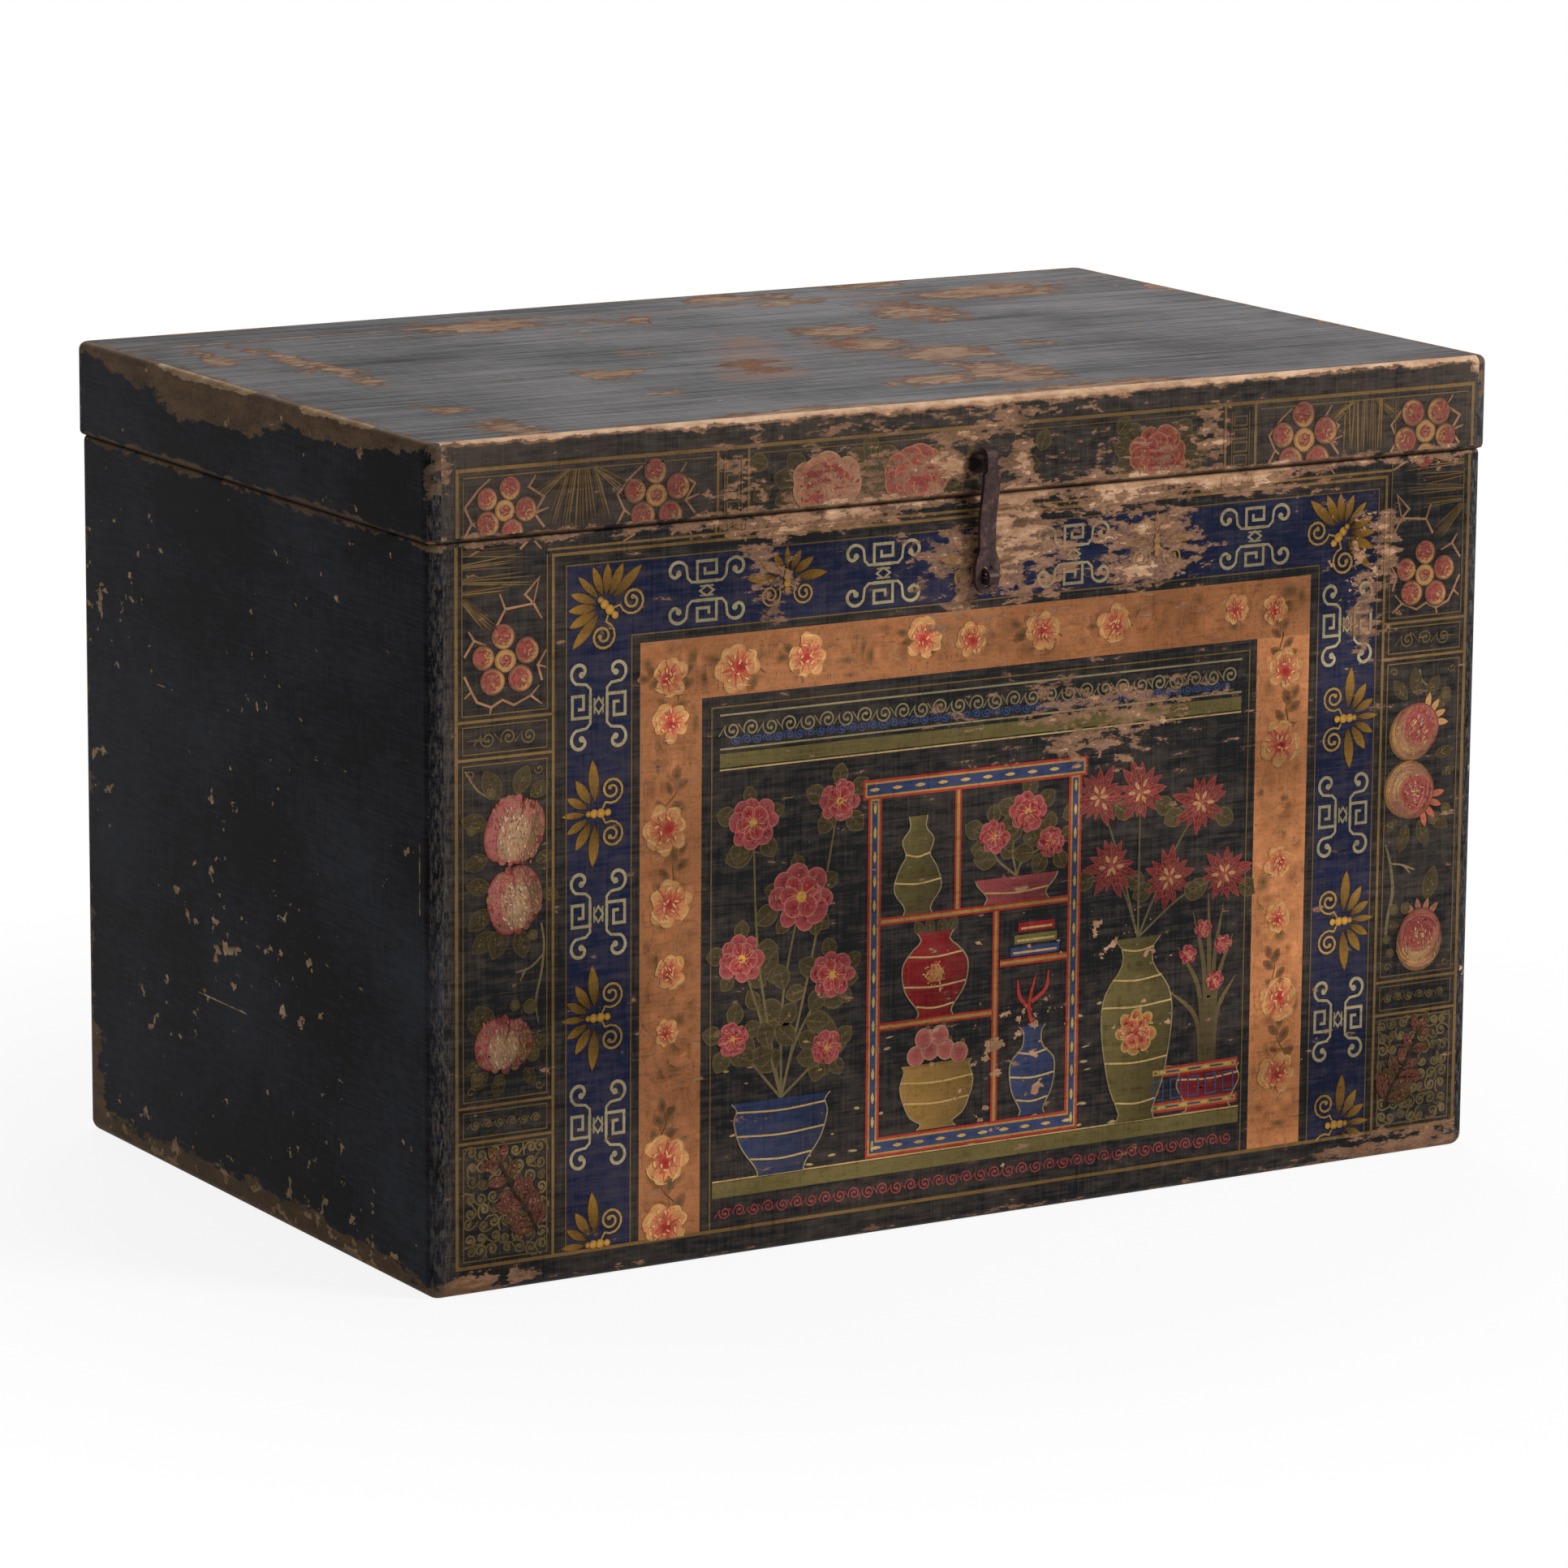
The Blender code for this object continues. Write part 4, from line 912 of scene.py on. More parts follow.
def press(sheet, name, plane, body, cut=None, two_columns=False):
    """Makes a sheet into a painted piece. cut is (height in mm, keep above)."""
    places = []
    faces = []
    for order, (flat, mark_faces, colours, level) in enumerate(sheet.marks):
        faces += [[v + len(places) for v in face] for face in mark_faces]
        lift = LEVEL * level + SLIP * (order % SLIPS)
        places += [(x * MM, plane - lift * MM, z * MM) for x, z in flat]
    paints = np.vstack([mark[2] for mark in sheet.marks])
    mesh = bpy.data.meshes.new(name)
    mesh.from_pydata(places, [], faces)
    colour = mesh.attributes.new("Paint", "FLOAT_COLOR", "POINT")
    colour.data.foreach_set("color", np.column_stack([paints, np.ones(len(paints))]).ravel())
    piece = bpy.data.objects.new(name, mesh)
    bpy.context.scene.collection.objects.link(piece)
    take_up(piece)
    if cut is not None:
        bpy.ops.object.mode_set(mode="EDIT")
        bpy.ops.mesh.select_all(action="SELECT")
        bpy.ops.mesh.bisect(plane_co=(0, 0, cut[0] * MM), plane_no=(0, 0, 1),
                            clear_inner=cut[1], clear_outer=not cut[1])
        bpy.ops.object.mode_set(mode="OBJECT")
    heights = piece.vertex_groups.new(name="height")
    lifts = [(plane - v.co.y) / MM + PAINT_ROOT for v in mesh.vertices]
    top = max(lifts)
    alike = {}
    for k, lift in enumerate(lifts):
        alike.setdefault(round(lift, 4), []).append(k)
    for lift, group in alike.items():
        heights.add(group, lift / top, "REPLACE")
    plate = piece.modifiers.new("plate", "SOLIDIFY")
    plate.thickness = top * MM
    plate.offset = -1
    plate.vertex_group = "height"
    bpy.ops.object.modifier_apply(modifier=plate.name)
    piece.vertex_groups.clear()

    count = len(mesh.loops)
    corner = np.empty(count, np.int32)
    mesh.loops.foreach_get("vertex_index", corner)
    spread = np.array([v.co for v in mesh.vertices])
    low, size = spread.min(0), np.ptp(spread, axis=0)
    even = (spread - low) / size
    if two_columns:
        left = spread[:, 0] < 0
        for half in (left, ~left):
            inside = spread[half, 0]
            start = 0.0 if half is left else 0.5
            even[half, 0] = start + 0.5 * (inside - inside.min()) / np.ptp(inside)
    normals = np.repeat([f.normal.y for f in mesh.polygons], [f.loop_total for f in mesh.polygons])
    u = even[corner, 0]
    v = SPARE_TOP + (1 - SPARE_TOP) * even[corner, 2]
    hidden = normals > -0.5
    edge = np.abs(normals) <= 0.5
    v[hidden] = SPARE * even[corner, 2][hidden]
    u[edge] = (0.8 * even[corner, 0] + 0.2 * even[corner, 2])[edge]
    v[edge] = SPARE * even[corner, 1][edge]
    chart = mesh.uv_layers.new(name="OFBake")
    chart.data.foreach_set("uv", np.column_stack([u, v]).astype(np.float32).ravel())
    mesh.materials.append(front_paint)
    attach(piece, body)
    print(name, len(sheet.marks), "marks", len(mesh.polygons), "faces")
    return piece


print("paint lies on the planes", round(FRONT_PLANE, 4), "and", round(LID_PLANE, 4))

# %% [markdown]
# ## Frames and fields
# Everything on the front hangs on a ruled frame of gold lines: two columns, a blue band with
# scrolls, an ochre band with blossoms, and the dark picture panel in the middle. All bands stop at
# one line above the foot, and the lid carries its own row of panels. A ruler was used on the real
# one, so the fields are plain bars between measured lines, in millimetres from the middle.

# %% Frames and fields
GOLD = paint(129, 105, 65)
GOLD_THIN = paint(116, 98, 62)
BLUE = paint(25, 35, 74)
OCHRE = paint(176, 121, 84)
# The ochre bars differ in brightness: the left one a little darker, the right one much lighter.
OCHRE_TONE_BY_BAR = {"left": 0.88, "right": 1.34, "top": 0.9}
LEFT, RIGHT = -382.3, 388.5
FOOT_LINE = 18.6
LID_LINE = 527.3
BAND_LINES = (-313.6, 321.0)
BLUE_BAND = {"outer": (-304.3, 315.0, 461.4), "inner": (-257.3, 267.5, 413.6)}
OCHRE_BAND = {"outer": (-251.0, 261.0, 407.9), "inner": (-206.0, 219.0, 368.4)}
BAND_TOP = 469.0
PICTURE = (-198.8, 213.0, 361.3)
COLUMNS = ((LEFT, BAND_LINES[0]), (BAND_LINES[1], RIGHT))
COLUMN_RULES = (368.9, 344.8, 122.3, 99.4)

ruled = Sheet()


def thin_line(*points):
    ruled.strip(points, 0.8, GOLD_THIN)


def band_bars(band):
    """The corners of the left, right and top bars of a band that stands on the foot line."""
    (x0, x1, z1), (a0, a1, b1) = band["outer"], band["inner"]
    return {"left": (x0, FOOT_LINE, a0, b1), "right": (a1, FOOT_LINE, x1, b1), "top": (x0, b1, x1, z1)}


def gate_line(x0, x1, z1, wide, colour):
    """A line up, across and down again, open at the foot."""
    ruled.strip([(x0, FOOT_LINE), (x0, z1), (x1, z1), (x1, FOOT_LINE)], wide, colour)


for corners in band_bars(BLUE_BAND).values():
    ruled.bar(*corners, BLUE, 0.3)
for side, corners in band_bars(OCHRE_BAND).items():
    ruled.bar(*corners, OCHRE * OCHRE_TONE_BY_BAR[side], 0.3)
for edge in BLUE_BAND.values():
    gate_line(*edge, 0.9, GOLD_THIN)
gate_line(*PICTURE, 0.9, GOLD_THIN)
gate_line(*BAND_LINES, BAND_TOP, 2.0, GOLD)
ruled.strip([(BAND_LINES[0] - 4.2, BAND_TOP + 4), (BAND_LINES[1] + 4.2, BAND_TOP + 4)], 1.6, GOLD)
ruled.strip([(LEFT - 1, FOOT_LINE), (RIGHT + 1, FOOT_LINE)], 2.3, GOLD)
ruled.strip([(LEFT, FOOT_LINE), (LEFT, LID_LINE), (RIGHT, LID_LINE), (RIGHT, FOOT_LINE)], 2.4, GOLD)
for x0, x1 in COLUMNS:
    for height in COLUMN_RULES:
        ruled.strip([(x0, height), (x1, height)], 1.9, GOLD)
    for low, high in ((99.4, 122.3), (344.8, 368.9)):
        ruled.frame(x0 + 4.5, low + 3.4, x1 - 4.5, high - 3.4, 0.8, GOLD_THIN)
    ruled.frame(x0 + 4.5, 126, x1 - 4.5, 341, 0.8, GOLD_THIN)
    for x, z, sx, sz in ((x0, 126, 1, 1), (x1, 126, -1, 1), (x0, 341, 1, -1), (x1, 341, -1, -1)):
        ruled.curl(x + sx * 10, z + sz * 6, 3.4, 90 - sz * 90, sx * sz * 0.9, 0.8, GOLD_THIN)
    ruled.frame(x0 + 4.5, 22.5, x1 - 4.5, 96, 0.8, GOLD_THIN)
    thin_line((x0 + 4.2, 372.5), (x0 + 4.2, 520))
    thin_line((x1 - 4.2, 372.5), (x1 - 4.2, 470))
    thin_line((x0 + 4.2, 372.5), (x1 - 4.2, 372.5))
DIVIDERS = ((-196.6, -174.0), (188.6, 212.5))
for x0, x1 in DIVIDERS:
    for x, inward in ((x0, 5), (x1, -5)):
        ruled.strip([(x, BAND_TOP + 4), (x, LID_LINE)], 2.0, GOLD)
        thin_line((x + inward, 484), (x + inward, 522))
    key = [(x0 + 3, 474), (x0 + 3, 479), (x0 + 9, 479), (x0 + 9, 475.5), (x0 + 13, 475.5), (x0 + 13, 479),
           (x1 - 3, 479), (x1 - 3, 474)]
    ruled.strip(key, 1.1, GOLD)
for x0, x1 in ((LEFT + 4.2, DIVIDERS[0][0] - 4), (DIVIDERS[0][1] + 4, DIVIDERS[1][0] - 4),
               (DIVIDERS[1][1] + 4, RIGHT - 4.2)):
    thin_line((x0, 522.5), (x1, 522.5))
SEAM_BELOW, SEAM_ABOVE = 479.4, 485.6
press(ruled, "front_ruled_frame", FRONT_PLANE, "box", cut=(SEAM_BELOW, False))
press(ruled, "lid_ruled_frame", LID_PLANE, "lid", cut=(SEAM_ABOVE, True))

# %% [markdown]
# ## Motifs of the bands
# The blue band alternates gold palmettes with pale fret medallions, and the ochre band is strewn
# with loose-petalled blossoms and sprigs. These are stock patterns of painted furniture, so one or a
# few of each are painted from dabs and curls and stamped round the frame. The palmettes of the
# corners have nine petals, the others seven. The medallions are plain interlocking frets between
# four volutes.

# %% Motifs of the bands
LEAF_GOLD = paint(160, 124, 48)
LEAF_BRIGHT = paint(184, 144, 66)
LEAF_DEEP = paint(104, 80, 36)
SCROLL_GOLD = paint(168, 142, 88)
UMBER = paint(38, 27, 21)
FRET = paint(172, 168, 142)
CREAM = paint(212, 168, 114)
PALE = paint(226, 190, 140)
PEACH = paint(206, 118, 94)
RED = paint(186, 66, 64)
CRIMSON = paint(158, 38, 46)
OLIVE = paint(76, 70, 48)
OLIVE_PALE = paint(116, 105, 74)
DULL_LEAF = paint(94, 78, 44)
YELLOW = paint(216, 174, 84)


def paint_palmette(petals):
    """Slender petals fan towards +x from a row of beads, two volutes trail behind. Each petal is an
    angle to either side, a length and a half width."""
    sheet = Sheet()
    root = 7.0
    for angle, long, wide in petals:
        for turn in sorted({-angle, angle}):
            x, z = around(turn, (long + root) / 2)
            tall = (long - root) / 2
            paints = LEAF_DEEP * 0.5, LEAF_GOLD, LEAF_GOLD
            sheet.dab(x, z, wide, tall, paints, turn - 90, 2, 0.9, 1.3, LEAF_DEEP * 0.7)
            line = [around(turn, root + 3), around(turn + 1.5, 0.88 * long)]
            sheet.strip(line, 1.0, LEAF_DEEP, LEAF_BRIGHT, 3, (0.3, 0.3))
            tendril = turn + (12 if turn > 0 else -12)
            sheet.strip([around(tendril, root), around(tendril, 0.5 * long)], 0.6, LEAF_DEEP * 0.6, level=3)
    for side in (-1, 1):
        lead = [(-2, side * 0.5), (-5, side * 3)]
        sheet.curl(-11.5, side * 14.5, 9.2, side * -60, side * -1.7, 2.4, UMBER, lead, 1)
        sheet.curl(-11.5, side * 14.5, 9.0, side * -60, side * -1.7, 1.6, SCROLL_GOLD, lead)
    for x, size in ((5.4, 2.3), (1.4, 3.1), (-3.6, 3.3), (-8.6, 2.5)):
        sheet.dab(x, 0, size, size, (LEAF_DEEP, LEAF_BRIGHT, YELLOW), level=5)
    return sheet


def paint_fret():
    """Four volutes and two interlocking square hooks, taller than wide."""
    sheet = Sheet()
    for sx in (-1, 1):
        for sz in (-1, 1):
            lead = [(sx * 6, sz * 7), (sx * 6, sz * 11), (sx * 9, sz * 14)]
            turns = 0.86 if sx * sz > 0 else -0.86
            start = -sz * 65 if sx > 0 else 180 + sz * 65
            sheet.curl(sx * 13, sz * 22, 7.8, start, turns, 2.2, FRET, lead)
        hook = [(sx * 6, 7), (sx * 19, 7), (sx * 19, -7), (sx * 11, -7), (sx * 11, 1.5), (sx * 15, 1.5)]
        sheet.strip(hook if sx > 0 else [(x, -z) for x, z in hook], 2.0, FRET)
        sheet.strip([(sx * 6, -8), (sx * 6, 8)], 2.1, FRET)
        sheet.strip([(sx * 3, -5), (sx * 3, 5)], 1.2, FRET * 0.8)
    sheet.strip([(-3.4, 0), (0, 5), (3.4, 0), (0, -5), (-3.4, 0)], 1.3, FRET)
    return sheet


def paint_blossom():
    """Loose cream petals, no two alike, round a wide rosy heart of red and pink strokes."""
    sheet = Sheet()
    for k in range(7):
        angle = 360 / 7 * k + hand.uniform(-16, 16)
        x, z = around(angle, hand.uniform(7.0, 10.0))
        wide, tall = hand.uniform(4.4, 7.0), hand.uniform(5.2, 7.8)
        lean = angle - 90 + hand.uniform(-30, 30)
        sheet.dab(x, z, wide, tall, (CREAM * 0.7, CREAM, CREAM * 0.9), lean, 3, fade=PEACH)
        edge = [around(angle + aside, hand.uniform(10.5, 14.2)) for aside in (-22, 0, 22)]
        sheet.strip(bow(edge, 7), hand.uniform(1.0, 2.0), PALE, CREAM, 4, (0.2, 0.2))
    for k in range(26):
        angle = 360 / 26 * k + hand.uniform(-9, 9)
        start = around(angle, hand.uniform(0, 4))
        end = around(angle + hand.uniform(-25, 25), hand.uniform(6.5, 12))
        colour = hand.choice((RED, PEACH, RED, CRIMSON * 1.3, RED * 0.8))
        sheet.strip([start, end], hand.uniform(1.1, 2.3), colour, PEACH, 5, (0.8, 0.2))
    x, z = hand.uniform(-2, 2), hand.uniform(-2, 2)
    sheet.dab(x, z, 3.6, 4.6, (PEACH, RED, CRIMSON), hand.uniform(0, 90), 6)
    for k in range(9):
        x, z = around(40 * k, hand.uniform(2, 10))
        sheet.dab(x, z, 0.7, hand.uniform(1.2, 2.2), PALE, hand.uniform(0, 180), 7)
    return sheet


def paint_sprig():
    """A stem with a few dull, smudged leaves, about 40 mm long, upright."""
    sheet = Sheet()
    sheet.strip(bow([(-2, -20), (3, -8), (-2, 6), (2, 18)]), 0.9, DULL_LEAF, level=2, ends=(1, 0.4))
    for x, z, turn in ((6, -8, -60), (-7, -2, 55), (5, 8, -45), (-4, 14, 40), (3, 20, -10), (-9, -12, 70)):
        size = hand.uniform(0.8, 1.25)
        rim = OCHRE * hand.uniform(0.7, 0.95)
        middle = hand.choice((DULL_LEAF, OLIVE))
        sheet.dab(x, z, 3.6 * size, 6.4 * size, (rim, rim * 0.8, middle), turn, 2, 0.8, 0.5)
    return sheet


def smudge(corners, fade, count):
    """Uneven brown, green and pale washes in an ochre bar, kept inside its edges."""
    x0, z0, x1, z1 = corners
    # fade sets how light this bar's ochre is.
    ground = OCHRE * fade
    washes = (ground * 0.6, ground * 0.78, ground * 1.3, DULL_LEAF, paint(190, 128, 94))
    upright = z1 - z0 > x1 - x0
    for k in range(count):
        wide, tall = hand.uniform(3, 11), hand.uniform(3, 12)
        share = (k + hand.random()) / count
        across, up = (hand.random(), share) if upright else (share, hand.random())
        x = x0 + wide + (x1 - x0 - 2 * wide) * across
        z = z0 + tall + (z1 - z0 - 2 * tall) * up
        paints = ground, ground, hand.choice(washes)
        banded.dab(x, z, wide, tall, paints, level=1, pattern=SMALL_DISC)


SEVEN_PETALS = (0, 25, 2.3), (29, 24, 3.0), (57, 27, 3.6), (86, 35, 3.9)
NINE_PETALS = (0, 27, 2.5), (25, 26, 2.9), (48, 26, 3.1), (70, 28, 3.3), (92, 34, 3.5)
palmette = paint_palmette(SEVEN_PETALS)
corner_palmette = paint_palmette(NINE_PETALS)
fret = paint_fret()
blossoms = [paint_blossom() for k in range(6)]
sprigs = [paint_sprig() for k in range(3)]
banded = Sheet()
BAND_PALMETTES = {-281: (302, 170, 22), 291.3: (308, 169, 28)}
BAND_FRETS = {-281: (371, 237, 100), 291.3: (372, 242, 101)}
for x, heights in BAND_PALMETTES.items():
    for height in heights:
        banded.stamp(palmette, x + (2 if x > 0 else -2), height, 0 if x > 0 else 180)
for x, heights in BAND_FRETS.items():
    for height in heights:
        banded.stamp(fret, x, height)
for x in (-203, -72.5, 72.5, 215):
    banded.stamp(fret, x, 437.5, 90)
for x in (-144, 0, 137.5):
    banded.stamp(palmette, x, 440, 90, 0.86)
banded.stamp(corner_palmette, -276, 434, 135, 1.05)
banded.stamp(corner_palmette, 285, 434, 45, 1.05)
for side, corners in band_bars(OCHRE_BAND).items():
    smudge(corners, OCHRE_TONE_BY_BAR[side], 130)
BLOSSOMS = [(-229, 384, 0.9), (-181, 386, 1.1), (-129, 389, 1.0), (-41, 392, 0.95), (-6, 388, 0.8),
            (48, 389, 0.9), (107, 388, 0.9), (201, 390, 0.7), (233, 387, 0.7)]
BLOSSOMS += [(-230, z, size) for z, size in
             ((355, 0.9), (286, 1.12), (238, 1.05), (193, 0.8), (154, 0.62), (71, 1.15), (27, 1.1))]
BLOSSOMS += [(241, z, size) for z, size in
             ((346, 0.95), (296, 1.1), (215, 0.75), (177, 0.72), (121, 1.05), (70, 1.0))]
for k, (x, z, size) in enumerate(BLOSSOMS):
    upright = z < 370
    turn = hand.uniform(-25, 25) if upright else 80
    x = x + hand.uniform(-2, 2)
    root = x + hand.uniform(-5, 5), z + (19 if upright else 0)
    if size > 0.8:
        banded.stamp(sprigs[k % 3], *root, turn, hand.uniform(0.7, 1.0), k % 2 == 0)
    banded.stamp(blossoms[k % 6], x, z, hand.uniform(0, 360), size)
press(banded, "front_band_paint", FRONT_PLANE, "box", cut=(FOOT_LINE, True))

# %% [markdown]
# ## Plums, twigs and blades
# Beside the bands stand two columns, and the lid has a row of panels. Both show plum rosettes among
# cracked-ice twigs and long blades of grass. A plum is built from overlapping dabs that fade from a
# pale rim, as a loaded brush leaves them, and is then covered with short touches of thick paint.
# The rosette is painted once and stamped six times.

# %% Plums, twigs and blades
ROSE = paint(162, 82, 82)
ROSE_DEEP = paint(140, 52, 62)
RIM = paint(206, 164, 112)
TWIG = paint(172, 134, 108)
NEEDLE = paint(124, 104, 70)
PINK = paint(184, 112, 116)
BLUSH = paint(192, 162, 138)
FROST = paint(218, 200, 178)
BARK = paint(126, 118, 90)
RUST = paint(112, 66, 60)
FADED = paint(182, 130, 112)


def stipple(sheet, x, z, wide, tall, count, colours, level, long=2.4, lean=None):
    """Short touches of thick paint in a few colours, scattered over an oval, with or against a lean."""
    for k in range(count):
        dx, dz = around(360 / count * k + hand.uniform(-9, 9), math.sqrt(hand.random()))
        size = hand.uniform(0.35, 0.8)
        colour = hand.choice(colours)
        turn = hand.uniform(0, 180) if lean is None else lean + hand.uniform(-24, 24)
        length = size * hand.uniform(1, long)
        sheet.dab(x + dx * wide, z + dz * tall, size, length, colour, turn, level)


def plum(sheet, x, z, size, ringed):
    """A plum: dark edge, cream crescent and a mottled rose cheek, or a red heart in a cream ring."""
    edge = RIM * 0.75 if ringed else FADED * 0.62
    sheet.dab(x, z, size, size * 1.04, (UMBER, edge, edge), hand.uniform(0, 90), 2)
    dx, dz = around(hand.uniform(100, 175), 0.0 if ringed else size * 0.14)
    sheet.dab(x - dx, z - dz, size * 0.82, size * 0.82, (edge, RIM * 0.8, RIM * 0.9), 0, 3)
    body = size * (0.54 if ringed else 0.76)
    bloom = hand.uniform(0.8, 1.05)
    sheet.dab(x + dx, z + dz, body, body, (FADED * 0.72, ROSE * (0.88 * bloom), ROSE * bloom), 0, 4)
    mottle = ROSE_DEEP, ROSE, ROSE * 0.8, FADED * 0.7
    stipple(sheet, x + dx, z + dz, body * 0.9, body * 0.9, 30, mottle, 5, 3)
    stipple(sheet, x - dx * 2, z - dz * 2, size * 0.5, size * 0.5, 9, (RIM * 0.8, FADED * 0.85), 6, 3)


def paint_rosette():
    """Five plums crowded round a sixth, which has the widest rim."""
    sheet = Sheet()
    for k in range(5):
        place = around(90 + 72 * k + hand.uniform(-4, 4), hand.uniform(15, 16.2))
        plum(sheet, *place, hand.uniform(8.0, 9.0), False)
    plum(sheet, 0, 0, 7.8, True)
    return sheet


def twigs(sheet, at, *lines):
    """Angular twigs. at turns each corner of a line into its place on the sheet."""
    for line in lines:
        sheet.strip([at(*corner) for corner in line], 1.6, TWIG, TWIG * 0.7, 1, (1, 0.7))


def blades(sheet, x, z, angles, long, wide=0.9, strands=3):
    """Long thin leaves, each drawn with a few strokes that part towards the tip."""
    for angle in angles:
        for k in range(strands):
            aside = k - (strands - 1) / 2
            lean = angle + aside * 2.2 + hand.uniform(-1.0, 1.0)
            dx, dz = around(lean, long * hand.uniform(0.78, 1.0))
            sx, sz = around(lean + 90, aside * wide * 1.05)
            line = [(x + sx + dx * share, z + sz + dz * share) for share in (0, 0.35, 0.7, 1)]
            tone = NEEDLE * hand.uniform(0.3, 1.3)
            sheet.strip(line, wide, tone, tone * 0.8, 1, (0.8, 0.15))


rosette = paint_rosette()
print("plum rosette", len(rosette.marks), "marks")

# %% [markdown]
# ## Leaves and fruit
# The tall panels of the columns carry fruit on the bough, peaches at the left and pomegranates at
# the right. A peach is two cheeks with a frosted cleft, a pomegranate a dry rind with a ripe cheek
# under its crown. Strokes that follow the form round them off.

# %% Leaves and fruit
DARK_LEAF = (OLIVE_PALE * 0.6, OLIVE * 0.72, OLIVE * 0.5)


def leaf(sheet, x, z, long, turn, wide=0.34, colours=(OLIVE_PALE, OLIVE, OLIVE * 0.7), level=1):
    """A leaf whose stalk end is at a place, with a rib and veins."""
    dx, dz = around(turn, long / 2)
    sheet.dab(x + dx, z + dz, long * wide, long / 2, colours, turn - 90, level, 1, 0.5)
    tip_x, tip_z = around(turn, long * 0.92)
    sheet.strip([(x, z), (x + tip_x, z + tip_z)], 0.7, colours[0], level=level + 1, ends=(1, 0.3))
    for share in (0.3, 0.55):
        root = (x + tip_x * share, z + tip_z * share)
        for lean in (-42, 42):
            vx, vz = around(turn + lean, long * 0.22)
            sheet.strip([root, (root[0] + vx, root[1] + vz)], 0.5, colours[0], level=level + 1, ends=(1, 0.2))


def mottled_leaf(sheet, x, z, turn, long, wide, spread, count):
    """A dark leaf, broken up by touches of green and brown."""
    leaf(sheet, x, z, long, turn, wide, DARK_LEAF)
    dx, dz = around(turn, long * 0.45)
    mottle = OLIVE_PALE * 0.8, DULL_LEAF, BARK * 0.7
    stipple(sheet, x + dx, z + dz, long * spread, long * spread, count, mottle, 2.5)


def berry(sheet, x, z, size):
    sheet.dab(x, z, size, size, (OLIVE_PALE, OLIVE, OLIVE_PALE * 0.8), level=2)


def peach(sheet, x, z, wide, tall, lean):
    """Two cheeks with a cleft: rose outside, frosted along the cleft, brown in the shade."""
    c, s = around(lean, 1)

    def at(across, up):
        return x + (across * c - up * s) * wide, z + (across * s + up * c) * tall

    for across, up, broad, high, colours in (
            (0.26, 0.06, 0.76, 0.90, (ROSE * 0.5, FADED * 0.75, FADED * 0.9)),
            (0.56, 0.02, 0.42, 0.66, (FADED * 0.7, FADED * 0.5, OLIVE_PALE)),
            (-0.34, -0.04, 0.68, 0.94, (ROSE * 0.6, PINK * 0.9, PINK))):
        sheet.dab(*at(across, up), broad * wide, high * tall, colours, lean, 3)
    for k in range(15):
        place = around(24 * k + hand.uniform(-7, 7), 0.90)
        tone = hand.choice((PINK, FADED, ROSE)) * (0.8 if place[0] < 0.2 else 0.5)
        bump = hand.uniform(0.08, 0.16) * wide
        sheet.dab(*at(*place), bump, bump, (tone * 0.7, tone, tone), 24 * k, 4)
    sheet.dab(*at(0.0, -0.12), 0.56 * wide, 0.76 * tall, (PINK * 0.9, BLUSH * 0.75, BLUSH), lean, 4.6)
    for across, up, broad, high, count, colours, level in (
            (-0.52, 0.04, 0.42, 0.76, 60, (PINK, ROSE, FADED, PINK * 0.8, BLUSH * 0.8), 5),
            (0.10, 0.56, 0.64, 0.34, 40, (PINK, ROSE, FADED, PINK * 0.8), 5.3),
            (0.52, -0.06, 0.40, 0.66, 40, (OLIVE_PALE, FADED * 0.7, FADED, RIM * 0.7), 5.6),
            (-0.02, -0.12, 0.50, 0.76, 110, (BLUSH, FROST * 0.85, BLUSH * 0.8, FADED, FROST, RIM), 6)):
        stipple(sheet, *at(across, up), broad * wide, high * tall, count, colours, level, 3, lean + 20)
    cleft = [at(-0.02, 0.95), at(0.06, 0.5), at(0.0, 0.0)]
    sheet.strip(bow(cleft, 9), 1.2, ROSE_DEEP * 0.6, PINK * 0.8, 6.3, (1, 0.2))


def arcs(sheet, x, z, wide, tall, turn, span, reaches, colours, level):
    """Curved strokes that follow a round fruit's form, on the side that turn names."""
    for reach in reaches:
        start = turn - span * hand.uniform(0.6, 1.0)
        end = turn + span * hand.uniform(0.6, 1.0)
        spots = [around(start + (end - start) * share, reach) for share in np.linspace(0, 1, 9)]
        path = [(x + dx * wide, z + dz * tall) for dx, dz in spots]
        first, last = hand.choice(colours), hand.choice(colours)
        sheet.strip(path, hand.uniform(0.8, 1.5), first, last, level, (0.2, 0.2))


